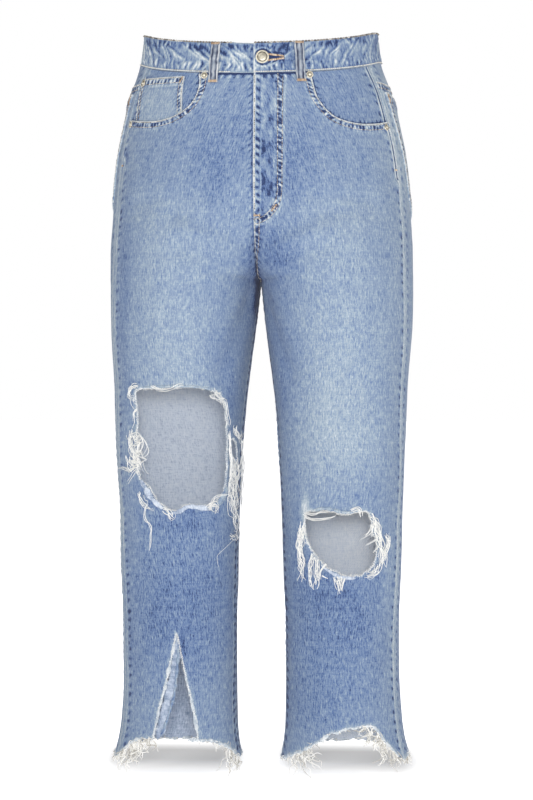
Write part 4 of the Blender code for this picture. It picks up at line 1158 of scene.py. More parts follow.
def denim(name, stops, grain, picking=0.35, roughness=0.9, sheen=0.12):
    """Worn twill. Its fading, with painted shade and light in places, comes with the mesh, and the grain
    scatters it.
    """
    nodes = Nodes(name)
    worn, torn = nodes.wear()
    pattern = nodes.add("ShaderNodeUVMap", uv_map="Pattern").outputs[0]
    fine = nodes.noise(pattern, GRAIN, 4.0, 0.65)
    clouds = nodes.noise(pattern, CLOUDS, 3.0, 0.6)
    slubs = nodes.noise(pattern, SLUBS, 2.0, 0.6)
    picks = nodes.noise(pattern, SLUBS[::-1], 2.0)
    fade = worn
    for noise, amount in ((fine, 0.60), (clouds, 0.40), (slubs, 1.40), (picks, picking)):
        fade = nodes.maths("MULTIPLY_ADD", noise, grain * amount, fade)
    for size, tone in CRACKLES:
        crackle = nodes.maths("ABSOLUTE", nodes.noise(pattern, size, 1.0))
        crackle = nodes.maths("MULTIPLY_ADD", crackle, -1 / CRACKLE_WIDTH, 1.0)
        fade = nodes.maths("MULTIPLY_ADD", nodes.maths("MAXIMUM", crackle, 0.0), grain * tone, fade)
    colour = nodes.ramp(fade, stops)
    frayed = nodes.maths("MULTIPLY_ADD", fine, 1.2, torn)
    colour = nodes.mix(nodes.maths("MULTIPLY", frayed, torn), colour, srgb(*WHITE_THREAD))
    nodes.wire(colour, nodes.shader.inputs["Base Color"])
    nodes.shader.inputs["Roughness"].default_value = roughness
    nodes.shader.inputs["Specular IOR Level"].default_value = 0.2
    nodes.shader.inputs["Sheen Weight"].default_value = sheen
    nodes.shader.inputs["Sheen Roughness"].default_value = 0.5
    twill = nodes.add("ShaderNodeTexWave", wave_type="BANDS", bands_direction="DIAGONAL")
    stretch = nodes.add("ShaderNodeMapping")
    nodes.wire(pattern, stretch.inputs["Vector"])
    stretch.inputs["Scale"].default_value = (THREADS_PER_METRE, THREADS_PER_METRE * TWILL_SLOPE, 1.0)
    nodes.wire(stretch.outputs[0], twill.inputs["Vector"])
    twill.inputs["Scale"].default_value = 0.2
    twill.inputs["Distortion"].default_value = 1.5
    height = nodes.maths("MULTIPLY_ADD", twill.outputs[1], 0.35, fine)
    height = nodes.maths("ADD", height, slubs)
    nodes.wire(nodes.bump(height, 0.0004, 0.8), nodes.shader.inputs["Normal"])
    return nodes.material


def thread(name, stops, roughness=0.7):
    """Twisted cotton: its colour varies along it and from one thread to the next."""
    nodes = Nodes(name)
    worn, _ = nodes.wear()
    where = nodes.add("ShaderNodeTexCoord").outputs["Object"]
    speckle = nodes.noise(where, 900.0, 1.0)
    nodes.wire(nodes.ramp(nodes.maths("MULTIPLY_ADD", speckle, 0.5, worn), stops),
               nodes.shader.inputs["Base Color"])
    nodes.shader.inputs["Roughness"].default_value = roughness
    nodes.shader.inputs["Sheen Weight"].default_value = 0.2
    return nodes.material


def metal(name, colour, roughness):
    """A painted glint makes it brighter on its rims, and it is darker in its hollows, as the mesh says."""
    nodes = Nodes(name)
    worn, _ = nodes.wear()
    where = nodes.add("ShaderNodeTexCoord").outputs["Object"]
    tarnish = nodes.noise(where, 500.0, 3.0)
    # the mesh's value paints a glint on the rims
    shade = nodes.maths("MULTIPLY_ADD", tarnish, 0.7, worn)
    nodes.wire(nodes.ramp(shade, ((0.0, tuple(v * 0.45 for v in colour)), (1.0, colour))),
               nodes.shader.inputs["Base Color"])
    nodes.shader.inputs["Metallic"].default_value = 0.75
    nodes.shader.inputs["Roughness"].default_value = roughness
    nodes.wire(nodes.bump(tarnish, 0.0002, 0.3), nodes.shader.inputs["Normal"])
    return nodes.material


DENIM = denim("denim_worn", DENIM_RAMP, 0.72)
DENIM_INSIDE = denim("denim_reverse", INSIDE_RAMP, 0.50, 1.0)
TAN_THREAD = thread("topstitch", (
    (0.0, (84, 76, 72)), (0.5, (160, 150, 136)), (1.0, (234, 230, 220))))
WHITE_FRAY = thread("loose_thread", (
    (0.0, (206, 208, 210)), (0.5, (240, 240, 237)), (1.0, (252, 251, 248))))
HEM_FRAY = thread("hem_yarn", (
    (0.0, (178, 174, 166)), (0.5, (238, 236, 230)), (1.0, (252, 251, 248))))
RUST_THREAD = thread("bartack", (
    (0.0, (112, 86, 66)), (0.5, (182, 152, 122)), (1.0, (226, 210, 188))))
BRASS = metal("pale_brass", (238, 230, 210), 0.42)
CLOTH = (DENIM, DENIM_INSIDE)

# === Panels ===============================================================================
def outseam_line(top, bottom, sign):
    z = np.linspace(top, bottom, max(2, int(abs(top - bottom) / FINE)))
    return np.stack([np.full(len(z), sign * HALF_GAP), z], axis=1)


def counter(loop, anticlockwise):
    """A loop made to run that way round."""
    x, y = loop.T
    area = np.sum(x * np.roll(y, -1) - np.roll(x, -1) * y)
    return loop if (area > 0) == anticlockwise else loop[::-1]


pieces = {}                  # by the node that each replaces


def panel(name, side, outline, seams, holes=(), spacing=(COARSE, FINE), **kind):
    """A piece of cloth, divided finely on its outer face and plainly on its inner one."""
    outline = counter(outline, True)
    holes = [counter(hole, False) for hole in holes]
    pieces[name] = shell(name + "_cloth", side, Cut(outline, holes, seams, *spacing),
                         Cut(outline, holes, (), LINING, LINING), seams, **kind)


def slit_line():
    """The torn slit in the wearer's-right hem, from the outseam's side round its top."""
    corners = HEM_SLIT_RIGHT[4::-1] + HEM_SLIT_RIGHT[:7:-1] + HEM_SLIT_RIGHT[7:8]
    return respaced(curve_through(corners, 6), FINE)


def front_outline(side):
    """The outline of a front, and the torn part of it."""
    mouth = mouth_line(side)
    waist = waist_line("front", POCKET_FRACTION, 1.0)
    inner = inner_line("front", waist[-1][1], float(hem("front", side, 1.0)))
    if side == "left":
        foot = hem_line("front", side, 1.0, 0.0)
    else:
        slit = slit_line()
        near, far = slit[0], slit[-1]
        width = float(SKIN.width("front", near[1]))
        after = hem_line("front", side, 1.0, far[0] / width)
        before = hem_line("front", side, near[0] / width, 0.0)
        foot = np.vstack([after[:-1], slit[::-1], before[1:]])
    outer = outseam_line(float(hem("front", side, 0.0)), mouth[0][1], 1)
    return joined(mouth, waist[1:], inner[1:], foot[1:], outer[1:-1]), foot


def pocket_edges():
    corners = np.array(BACK_POCKET)
    return [Seam("patch top" if places == [0, 1, 2] else "patch", corners[places], seed)
            for seed, places in enumerate(([0, 1, 2], [6, 7, 0], [4, 5, 6], [2, 3, 4]), 21)]


HOLES = {
    "left": (rough(curve_through(KNEE_HOLE_LEFT, 5, True), FINE, 0.0011, 1),),
    "right": (rough(curve_through(KNEE_HOLE_RIGHT, 5, True), FINE, 0.0012, 2),
              rough(curve_through(KNEE_SLOT_RIGHT, 5, True), FINE, 0.0008, 3)),
}
for side in SIDES:
    seams = front_seams(side)
    outline, foot = front_outline(side)
    panel(f"front_{side}", side, outline, seams, HOLES[side], torn=[*HOLES[side], foot])
    facing = facing_line()
    # the facing gets painted shade under the pocket's mouth, and on the right under the coin pocket's edge
    under = [Seam("under", mouth_line(side), 8), *facing_seams(side)]
    if side == "right":
        under.append(Seam("under", np.array([(0.094, -0.092), *COIN_POCKET_TOP[::-1]]), 10))
    waist = waist_line("front", 0.0, FACING_FRACTION)
    outline = joined(facing, waist[::-1][1:], outseam_line(waist[0][1], facing[0][1], 1)[1:-1])
    panel(f"pocket_facing_{side}", side, outline, under, spacing=(0.0030, FINE),
          outer=-(WALL + GAP), fade_shift=-0.06)
    seams = back_seams(side)
    beside_yoke = [Seam("outseam back", np.array([(0.0, YOKE_SIDE_Z), (0.0, -0.015)]), 15)]
    yoke_foot = yoke_line(HALF_GAP)
    waist = waist_line("back", 0.0, 1.0)
    centre = inner_line("back", waist[-1][1], yoke_foot[-1][1])
    outline = joined(waist, centre[1:], yoke_foot[::-1][1:],
                     outseam_line(yoke_foot[0][1], waist[0][1], -1)[1:-1])
    panel(f"yoke_{side}", side, outline, beside_yoke, spacing=(0.0022, 0.0022))
    top = yoke_line(-HALF_GAP)
    inner = inner_line("back", top[-1][1], float(hem("back", side, 1.0)))
    foot = hem_line("back", side, 1.0, 0.0)
    outline = joined(top, inner[1:], foot[1:], outseam_line(foot[-1][1], top[0][1], -1)[1:-1])
    panel(f"back_{side}", side, outline, seams, torn=[foot])
    panel(f"back_pocket_{side}", side, respaced(np.array(BACK_POCKET), FINE, True), pocket_edges(),
          spacing=(0.0026, 0.0017), outer=GAP + WALL)
# The facing behind the fly
edge = fly_turn(0.0)
edge[:, 0] = np.minimum(edge[:, 0], SKIN.width("front", edge[:, 1]) - HALF_GAP)
waist = waist_line("front", 1.0, 1 - FLY_WIDTH / float(SKIN.width("front", edge[0][1])))
outline = joined(edge, inner_line("front", waist[0][1], FLY_FOOT_Z)[::-1][1:], waist[1:])
panel("fly", "left", outline, (), spacing=(0.0030, 0.0030), outer=-(WALL + GAP))

# --- Coin pocket --------------------------------------------------------------------------
mouth = mouth_line("right")
low, high = COIN_POCKET_FOOT
foot = np.array([(across - COIN_CLEAR * across / high, z + COIN_CLEAR) for across, z in mouth
                 if low <= across <= high and z < COIN_POCKET_TOP[0][1]])
top = np.array(COIN_POCKET_TOP)
coin = respaced(np.vstack([top, foot[::-1]]), FINE, True)
coin_seams = [
    Seam("coin", top[::-1], 41),
    Seam("coin side", np.array([foot[-1], top[1]]), 42),
    Seam("coin side", np.array([top[0], foot[0]]), 43),
]
panel("coin_pocket", "right", coin, coin_seams, spacing=(0.0018, FINE), fade_shift=0.14)

# === Waistband ============================================================================
BAND_STEP = 0.0011           # spacing of its corners
BAND_ROUND = 0.0014          # its top edge is rounded this high
BAND_TURN = 5                # corners over the top
BAND_RUN = 0.44              # each half is shorter than this
LAP_STEPS = 8
BAND_CREASE = {"left": 0.0104, "right": 0.0096}  # from one slanting crease to the next
BAND_SLOPE = {"left": 1.20, "right": 0.95}       # how steeply they lean
BAND_BROKEN = {"left": 0.60, "right": 0.30}      # how much each one comes and goes
BAND_RIDGE = 0.0013          # their height
BAND_CREASE_REACH = 0.008    # past this far they leave no mark
# They stray by so much, over these distances along and up
BAND_WAVER = ((0.0034, 0.014, 0.010), (0.0008, 0.005, 0.005))
BAND_END = 0.0021            # the worn edge of its end at the centre front
BAND_BASE = {"left": 0.40, "right": 0.45}        # its fading, and what worn ridges, painted shade in the troughs and the cloth under its top edge change
BAND_WORN = {"left": 0.60, "right": 0.76}        # the cloth under its top edge change
BAND_TROUGH_SHADE = {"left": 0.44, "right": 0.66}
BAND_DARK = {"left": 0.26, "right": 0.30}
BAND_DARK_AT = (0.0064, 0.0046)      # below its top edge, and the reach of that
BUTTONHOLE = (0.0165, 0.0372)        # where it starts and ends, from the centre
# A dark ring of painted shadow round the button, and a pale pressed ring: fading, radius, width
BUTTON_RINGS = ((-0.60, 0.0097, 0.0011), (0.36, 0.0120, 0.0012))


def band_creases(side):
    """Where its creases are: along, rise, along, rise, breadth, strength."""
    pick = np.random.RandomState(SIDE_SEED[side])
    creases, along = [], 0.003
    while along < BAND_RUN:
        top = BAND_HEIGHT - pick.uniform(0.003, 0.014)
        foot = pick.uniform(0.005, 0.020)
        slope = BAND_SLOPE[side] * pick.uniform(0.45, 1.5)
        creases.append((along, top, along - (top - foot) / slope, foot,
                        pick.uniform(0.0009, 0.0015), pick.uniform(0.45, 1.0)))
        along += BAND_CREASE[side] * pick.uniform(0.5, 1.5)
    # short puckers stand on the seam, and fewer hang from the top
    for low, high, step in ((0.0030, 0.0160, 0.0064),
                            (BAND_HEIGHT - 0.0025, BAND_HEIGHT - 0.0130, 0.0100)):
        along = 0.004
        while along < BAND_RUN:
            end = low + (high - low) * pick.uniform(0.35, 1.0)
            creases.append((along, low, along + pick.uniform(-0.003, 0.003), end,
                            pick.uniform(0.0009, 0.0014), pick.uniform(0.4, 1.0)))
            along += step * pick.uniform(0.6, 1.4)
    return creases


def band_dress(side, along, rise):
    """The height, the fading and the painted shade of the waistband, by distance from the centre front."""
    seed = SIDE_SEED[side] + 7
    bent = along
    for more, (by, size, size_up) in enumerate(BAND_WAVER):
        bent = bent + by * ripple(along / size, rise / size_up, seed + more)
    ridge, shaded_trough = np.zeros(bent.shape), np.zeros(bent.shape)
    for start, start_rise, end, end_rise, breadth, strength in band_creases(side):
        run, climb = end - start, end_rise - start_rise
        near = np.abs(bent - (start + end) / 2) < abs(run) / 2 + BAND_CREASE_REACH
        x, y = bent[near] - start, np.broadcast_to(rise, bent.shape)[near] - start_rise
        part = np.clip((x * run + y * climb) / (run ** 2 + climb ** 2), 0, 1)
        off = np.hypot(x - part * run, y - part * climb)
        below = (x * climb - y * run) * climb < 0
        broken = 1 + BAND_BROKEN[side] * ripple(part * 3.4, start * 500, seed)
        peak = strength * broken * np.sin(np.pi * (0.14 + 0.72 * part))
        shape = 0.62 * bell(off, 0, breadth) + 0.38 * bell(off, 0, 2.6 * breadth)
        ridge[near] = np.maximum(ridge[near], peak * shape)
        # painted shade: the trough on the lower side of each crease is sunk and darkened, as if lit from
        # above
        hollow = bell(off, 2.3 * breadth, 1.3 * breadth)
        shaded_trough[near] = np.maximum(shaded_trough[near], peak * below * hollow)
    from_edge = np.minimum(rise, BAND_HEIGHT - rise)
    from_top = BAND_HEIGHT - rise
    inner = smooth((from_edge - 0.0010) / 0.0018)
    fine = ripple(along / 0.0036, rise / 0.0036, seed + 3)
    height = (BAND_RIDGE * (ridge - 0.5 * shaded_trough) + 0.00022 * fine) * inner
    dark = (BAND_DARK[side] * bell(from_top, *BAND_DARK_AT)
            * np.maximum(0, 0.7 + 1.1 * ripple(along / 0.010, rise / 0.012, seed + 4)))
    dark = dark + 0.16 * ripple(along / 0.020, rise / 0.014, seed + 5)
    creased = BAND_WORN[side] * ridge - BAND_TROUGH_SHADE[side] * shaded_trough * (1 - ridge)
    fade = BAND_BASE[side] + (creased + 0.14 * fine - dark) * inner
    fade = fade + 0.34 * bell(from_edge, 0.0005, 0.0009)
    if side == "left":
        end = bell(along, 0, BAND_END)
        height, fade = height + 0.0006 * end, fade + 0.80 * end
        fade = fade - 0.16 * bell(along, 0.036, 0.016)
        middle = rise - BAND_HEIGHT / 2
        ring = np.hypot(along - BUTTON_FROM_CENTRE, middle)
        for amount, radius, breadth in BUTTON_RINGS:
            fade = fade + amount * bell(ring, radius, breadth)
        # the slit of the buttonhole runs outward and narrows; it is painted dark, as the shade in its opening
        part = np.clip((along - BUTTONHOLE[0]) / (BUTTONHOLE[1] - BUTTONHOLE[0]), 0, 1)
        open_half = 0.0030 * (1 - part) + 0.0004
        slit = smooth((open_half - np.abs(middle)) / 0.0008 + 0.5) * (part > 0) * (part < 1)
        rim = bell(np.abs(middle) - open_half, 0.0034, 0.0014) * (part > 0) * (part < 1)
        fade = fade - 1.0 * slit - 0.45 * rim
    return height, fade


def band_stations():
    """Round the waist from the wearer's-left centre front: side, part and fraction."""
    front = np.linspace(1, 0, int(float(SKIN.width("front", 0)) / BAND_STEP))
    back = np.linspace(0, 1, int(float(SKIN.width("back", 0)) / BAND_STEP))[1:]
    runs = (("left", "front", front), ("left", "back", back),
            ("right", "back", back[::-1][1:]), ("right", "front", front[::-1]))
    return [(side, part, fraction) for side, part, run in runs for fraction in run]


def band_profile():
    """Round the band's section: rise above its seam, and depth behind its outer face."""
    rises = np.linspace(HALF_GAP, BAND_HEIGHT - BAND_ROUND, int(BAND_HEIGHT / BAND_STEP))
    outer = [(rise, 0.0) for rise in rises]
    angles = np.linspace(0, np.pi, BAND_TURN + 2)[1:-1]
    half = BAND_WALL / 2
    over = [(BAND_HEIGHT - BAND_ROUND + BAND_ROUND * math.sin(a), half - half * math.cos(a))
            for a in angles]
    inner = [(rise, BAND_WALL) for rise in rises[::-3]]
    return np.array(outer + over + inner)


stations = band_stations()
profile = band_profile()
front_width = float(SKIN.width("front", waist_seam("front", 1)))
ring = len(profile)
points, fades, patterns = [], [], []
turn = len(stations) // 2 + 1
halves = [(side, (np.arange(count) + lead) * BAND_STEP)
          for side, count, lead in (("left", turn, 0), ("right", len(stations) - turn, 1))]
halves = [band_dress(side, way[:, None], profile[None, :, 0]) for side, way in halves]
heights, wears = (np.vstack([halves[0][kind], halves[1][kind][::-1]]) for kind in (0, 1))
for number, (side, part, fraction) in enumerate(stations):
    from_centre = (1 - fraction) * front_width if (side, part) == ("right", "front") else LAP_RAMP
    sink = (BAND_WALL + GAP) * (1 - float(smooth(from_centre / LAP_RAMP)))
    rise, depth = profile.T
    seam_z = float(waist_seam(part, fraction))
    way = number * BAND_STEP
    height, fade = heights[number], wears[number]
    facing_out = smooth(1 - depth / (BAND_WALL / 2))
    crest = 0.0007 * float(ripple(way / 0.006, 0, 9 + (side == "left"))) * smooth((rise - 0.030) / 0.008)
    z = seam_z + rise + crest
    out = BAND_OUT - sink - depth + height * facing_out
    points.append(place(side, across_at(part, fraction, z), z, out))
    fades.append(fade)
    patterns.append(np.stack([np.full(ring, way), rise + depth], axis=1))
for under in [(step + 1) / LAP_STEPS * LAP_LENGTH / front_width for step in range(LAP_STEPS)]:
    rise, depth = profile.T
    z = float(waist_seam("front", 1 - under)) + rise
    points.append(place("left", across_at("front", 1 - under, z), z, BAND_OUT - BAND_WALL - GAP - depth))
    fades.append(np.full(ring, FADE_BASE))
    patterns.append(np.stack([np.full(ring, under), rise + depth], axis=1))
count = len(points)
quads, caps = tube(count, ring)
outer_count = int(BAND_HEIGHT / BAND_STEP) + BAND_TURN
inner_column = np.tile(np.arange(ring) >= outer_count, count - 1)
pieces["waistband"] = finish_mesh(
    "waistband_cloth", np.vstack(points), [quads[~inner_column], quads[inner_column], caps],
    wear_of(np.concatenate(fades)), np.vstack(patterns), CLOTH, (0, 1, 0))

# === Belt loops ===========================================================================
LOOP_ROWS = 26
LOOP_COLUMNS = 19
LOOP_FADE = 0.40


def centred_back(offs, z, out):
    """Places about the centre back, the wearer's left to the right of it."""
    across = np.abs(offs) - SKIN.width("back", z)
    mirror = np.stack([np.where(offs < 0, -1, 1), 1 + 0 * offs, 1 + 0 * offs], axis=-1)
    return place("left", across, z, out) * mirror


def loop_strip(name, lay):
    """One belt loop. lay(off, rise, out) gives the places off its middle, above the waist seam."""
    rise, out = np.array(LOOP_PROFILE).T
    line = curve_through(np.stack([rise, out], axis=1), 6)
    line = respaced(line, (rise[-1] - rise[0]) / LOOP_ROWS)
    offs = np.linspace(-LOOP_WIDTH / 2, LOOP_WIDTH / 2, LOOP_COLUMNS)
    from_edge = LOOP_WIDTH / 2 - np.abs(offs)
    # raised where its edges are folded in and down its middle
    ridge = (0.0007 * bell(from_edge, 0.0016, 0.0011) + 0.0004 * bell(offs, 0, 0.0012)
             - 0.0005 * bell(from_edge, 0, 0.0006))
    seed = sum(map(ord, name))
    rings, fades, patterns = [], [], []
    for up, stand in line:
        waver = 0.0003 * ripple(up / 0.004, 0, seed) + 0.0002 * ripple(up / 0.0017, 4, seed)
        spread = offs + 0.0004 * ripple(up / 0.0036, np.sign(offs) * 3, seed)
        rings.append(np.vstack([lay(spread, up, stand + LOOP_WALL + ridge + waver),
                                lay(spread[::-1], up, np.full(LOOP_COLUMNS, stand))]))
        worn = (LOOP_FADE + 0.52 * bell(from_edge, 0.0011, 0.0009)
                - 0.48 * bell(from_edge, 0.0029, 0.0008) + 0.30 * bell(offs, 0, 0.0010)
                + 0.24 * ripple(up / 0.0040, offs / 0.003, seed))
        fades.append(np.concatenate([worn, np.full(LOOP_COLUMNS, LOOP_FADE)]))
        patterns.append(np.stack([np.concatenate([offs, offs[::-1]]), np.full(2 * LOOP_COLUMNS, up)], axis=1))
    points = np.vstack(rings)
    quads, caps = tube(len(rings), 2 * LOOP_COLUMNS)
    corner = points[quads] - points.mean(axis=0)
    if np.einsum("ij,ij->i", corner[:, 0], np.cross(corner[:, 1], corner[:, 2])).sum() < 0:
        quads, caps = quads[:, ::-1], caps[:, ::-1]
    return finish_mesh(name + "_cloth", points, [quads, caps], wear_of(np.concatenate(fades)),
                       np.vstack(patterns), [LOOP_DENIM], (0, 0))


LOOP_RAMP = (
    (0.00, (58, 64, 86)),
    (0.45, (128, 138, 155)),
    (0.75, (170, 176, 186)),
    (1.00, (214, 214, 212)),
)
LOOP_DENIM = denim("belt_loop_denim", LOOP_RAMP, 0.40)


def loop_path(part, from_centre, lean):
    """The middle of a loop at each rise above the waist seam: across and z."""
    fraction = 1 - from_centre / float(SKIN.width(part, waist_seam(part, 0.6)))
    seam_z = float(waist_seam(part, fraction))
    return lambda rise: (FORWARD[part] * (float(SKIN.width(part, seam_z + rise)) - from_centre)
                         + lean * rise, seam_z + rise)


loop_lays = {}
for name, side, part, from_centre, lean in LOOPS:
    middle = loop_path(part, from_centre, lean)
    loop_lays[name] = lambda offs, rise, out, side=side, middle=middle: place(
        side, middle(rise)[0] + offs, middle(rise)[1] + 0 * offs, out + 0 * offs)
back_seam = float(waist_seam("back", 1))
loop_lays["belt_loop_back"] = lambda offs, rise, out: centred_back(
    offs, back_seam + rise + 0 * offs, out + 0 * offs)
for name, lay in loop_lays.items():
    pieces[name] = loop_strip(name, lay)

# === Threads ==============================================================================


class Threads:
    """Many thin threads, gathered into one mesh."""

    def __init__(self, sides=4):
        self.sides = sides
        self.points, self.faces, self.caps, self.wear, self.count = [], [], [], [], 0

    def batch(self, lines, radius, tones, ups):
        """Threads with the same number of corners: lines (n, k, 3), radius (k,) or (n, k)."""
        n, k, _ = lines.shape
        ahead = np.gradient(lines, axis=1)
        aside = np.cross(ahead, ups.reshape(n, -1, 3))
        aside /= np.linalg.norm(aside, axis=-1, keepdims=True) + 1e-12
        rise = np.cross(aside, ahead)
        rise /= np.linalg.norm(rise, axis=-1, keepdims=True) + 1e-12
        angle = 2 * np.pi * np.arange(self.sides) / self.sides
        width = np.broadcast_to(radius, (n, k))[..., None, None]
        rings = lines[:, :, None] + width * (aside[:, :, None] * np.cos(angle)[:, None]
                                             + rise[:, :, None] * np.sin(angle)[:, None])
        index = self.count + np.arange(n * k * self.sides).reshape(n, k, self.sides)
        over = np.roll(index, -1, axis=2)
        walls = np.stack([index[:, :-1], over[:, :-1], over[:, 1:], index[:, 1:]], axis=-1)
        self.points.append(rings.reshape(-1, 3))
        self.faces.append(walls.reshape(-1, 4))
        self.caps += [index[:, 0, ::-1], index[:, -1]]
        self.wear.append(np.repeat(wear_of(tones), k * self.sides, axis=0))
        self.count += n * k * self.sides

    def one(self, side, line, out, width, tone):
        """A single thread along a line on the cloth, standing out from it."""
        self.batch(place(side, *line.T, out)[None], width, np.array([tone]), outward(side, *line.T)[None])

    def build(self, name, finish):
        points = np.vstack(self.points)
        return finish_mesh(name, points, [np.vstack(self.faces), np.vstack(self.caps)],
                           np.vstack(self.wear), points[:, [0, 2]], [finish], (0, 0), sharp=80)


draw = np.random.RandomState(7)
STITCH = 0.0029              # from one stitch to the next
STITCH_LONG = 0.80           # of that is thread
STITCH_RADIUS = 0.00054
STITCH_HEIGHT = 0.00032
TACK_STEP = 0.0007           # the same for the dense bars at the ends of seams
TACK_RADIUS = 0.00042
# Over its four corners, the height and the thickness of one
STITCH_ARCH = np.array([-0.5, 0.9, 0.9, -0.5])
STITCH_TAPER = np.array([0.6, 1.0, 1.0, 0.6])


def outward(side, across, z):
    normal = SKIN.normal(across, z)
    return normal * (-1, 1, 1) if side == "right" else normal


def on_cloth(side, seams=(), outer=0.0):
    """The height of the cloth's face, for places on it."""
    return lambda across, z: outer + dress(side, across, z, seams)[0]


def sew(threads, side, starts, ends, surface, radius=STITCH_RADIUS, height=STITCH_HEIGHT,
        fill=STITCH_LONG, tone=0.5):
    """Stitches between places on the cloth."""
    parts = 0.5 + fill * np.array([-0.5, -0.2, 0.2, 0.5])
    spots = starts[:, None] + parts[None, :, None] * (ends - starts)[:, None]
    across, z = spots[..., 0], spots[..., 1]
    out = surface(across.ravel(), z.ravel()).reshape(across.shape) + STITCH_ARCH * height
    tones = tone + 0.5 * draw.uniform(-1, 1, len(spots))
    threads.batch(place(side, across, z, out), radius * STITCH_TAPER, tones,
                  outward(side, across[:, 1], z[:, 1]))


def row(threads, side, line, surface, step=STITCH, **kind):
    line = respaced(line, step)
    sew(threads, side, line[:-1], line[1:], surface, **kind)


def bartack(threads, side, start, end, breadth, surface, step=TACK_STEP):
    """A dense bar of stitches, across a line from start to end."""
    line = respaced(np.array([start, end]), step)
    ahead = (line[-1] - line[0]) / np.hypot(*(line[-1] - line[0]))
    half = breadth / 2 * np.array([-ahead[1], ahead[0]])
    sew(threads, side, line - half, line + half, surface, radius=TACK_RADIUS, height=0.0007, fill=1.0)


FINE_STITCH_LINE = 0.0015    # spacing of the line that a row of stitches is laid beside


def seam_rows(threads, side, seams, outer=0.0, **kind):
    surface = on_cloth(side, seams, outer)
    for seam in seams:
        for off in seam.kind["rows"]:
            row(threads, side, beside(respaced(seam.line, FINE_STITCH_LINE), off), surface, **kind)


extra = []                   # pieces that replace no node, with their slots


def sewn(name, threads, finish):
    extra.append((threads.build(name, finish), "stitching"))


# --- On the fronts
FLY_TACKS = (((0.0005, -0.2215), (0.0085, -0.2215)), ((0.0240, -0.2165), (0.0300, -0.2085)))
for side in SIDES:
    threads, tacks = Threads(), Threads()
    seams = front_seams(side)
    surface = on_cloth(side, seams)
    seam_rows(threads, side, seams)
    if side == "left":
        for (near, near_z), (far, far_z) in FLY_TACKS:
            bartack(tacks, side, (SKIN.width("front", near_z) - near, near_z),
                    (SKIN.width("front", far_z) - far, far_z), 0.0024, surface)
    end = OUTSEAM_TOPSTITCH_END[side] - 0.002
    bartack(tacks, side, (0.0012, end), (0.0066, end), 0.0022, surface)
    sewn(f"topstitch_front_{side}", threads, TAN_THREAD)
    if side == "right":
        threads = Threads()
        seam_rows(threads, side, coin_seams)
        sewn("topstitch_coin_pocket", threads, TAN_THREAD)
        corner = np.array(COIN_POCKET_TOP[1])
        bartack(tacks, side, corner - (0.0020, 0.0010), corner - (0.0020, 0.0080), 0.0022,
                on_cloth(side, coin_seams))
    sewn(f"bartacks_front_{side}", tacks, RUST_THREAD)

# --- On the backs
for side in SIDES:
    threads, tacks = Threads(), Threads()
    seam_rows(threads, side, back_seams(side))
    corners = np.array(BACK_POCKET)
    edges = pocket_edges()
    seam_rows(threads, side, edges, GAP + WALL, radius=0.00036, height=0.00010)
    surface = on_cloth(side, edges, GAP + WALL)
    for start, end in ((0, 1), (2, 1)):
        inward = (corners[end] - corners[start]) / np.hypot(*(corners[end] - corners[start]))
        spot = corners[start] + 0.0035 * inward
        bartack(tacks, side, spot - (0, 0.0020), spot - (0, 0.0120), 0.0026, surface)
    sewn(f"topstitch_back_{side}", threads, TAN_THREAD)
    sewn(f"bartacks_back_{side}", tacks, RUST_THREAD)

# --- On the waistband
def on_band(across, z):
    return np.full(np.shape(across), ON_BAND)


threads, tacks = Threads(), Threads()
ON_BAND = BAND_OUT + 0.0004  # the height of the rows on it
BAND_ROW_CORNERS = 100       # in each quarter of a row on the band
#   rise, tone, radius, from one stitch to the next
BAND_ROWS = ((0.0013, 1.15, 0.0007, STITCH), (BAND_HEIGHT - 0.0008, 0.40, 0.0011, 0.0040))
for side in SIDES:
    for part in PARTS:
        for rise, tone, radius, step in BAND_ROWS:
            start = LAP_RAMP / front_width if (side, part) == ("right", "front") else 0.0
            fraction = np.linspace(1 - start, 0, BAND_ROW_CORNERS)
            z = waist_seam(part, fraction) + rise
            line = np.stack([across_at(part, fraction, z), z], axis=1)
            row(threads, side, line, on_band, step, tone=tone, radius=radius)
BUTTON_Z = float(waist_seam("front", 1)) + BAND_HEIGHT / 2
centre = float(SKIN.width("front", BUTTON_Z))
near, far = centre - BUTTONHOLE[0], centre - BUTTONHOLE[1]
for up in (1, -1):
    lip = respaced(np.array([(near, BUTTON_Z + 0.0030 * up), (far, BUTTON_Z + 0.0004 * up)]), 0.0006)
    sew(tacks, "left", lip, lip + 0.0024 * np.array([0.0, up]), on_band, radius=0.00040,
        height=0.0009, fill=1.0, tone=0.62)
bartack(tacks, "left", (far - 0.0006, BUTTON_Z - 0.0016), (far - 0.0006, BUTTON_Z + 0.0016),
        0.0022, on_band)
sewn("topstitch_waistband", threads, TAN_THREAD)

# --- On the belt loops
for name, lay in loop_lays.items():
    for rise in (LOOP_PROFILE[0][0] + 0.0016, LOOP_PROFILE[-1][0] - 0.0017):
        stand = float(np.interp(rise, *np.array(LOOP_PROFILE).T)) + LOOP_WALL
        offs = np.arange(-0.0056, 0.0056, TACK_STEP)
        lines = np.stack([lay(offs, rise + up, stand + high) for up, high in
                          ((-0.0016, 0.0), (-0.0009, 0.0010), (0.0009, 0.0010), (0.0016, 0.0))], axis=1)
        out = lay(offs, rise, stand + 0.01) - lay(offs, rise, stand)
        tacks.batch(lines, TACK_RADIUS * STITCH_TAPER, 0.5 + 0.35 * draw.uniform(-1, 1, len(offs)), out)
sewn("bartacks_waist", tacks, RUST_THREAD)

# === Metal ================================================================================
TURNED_SIDES = 48
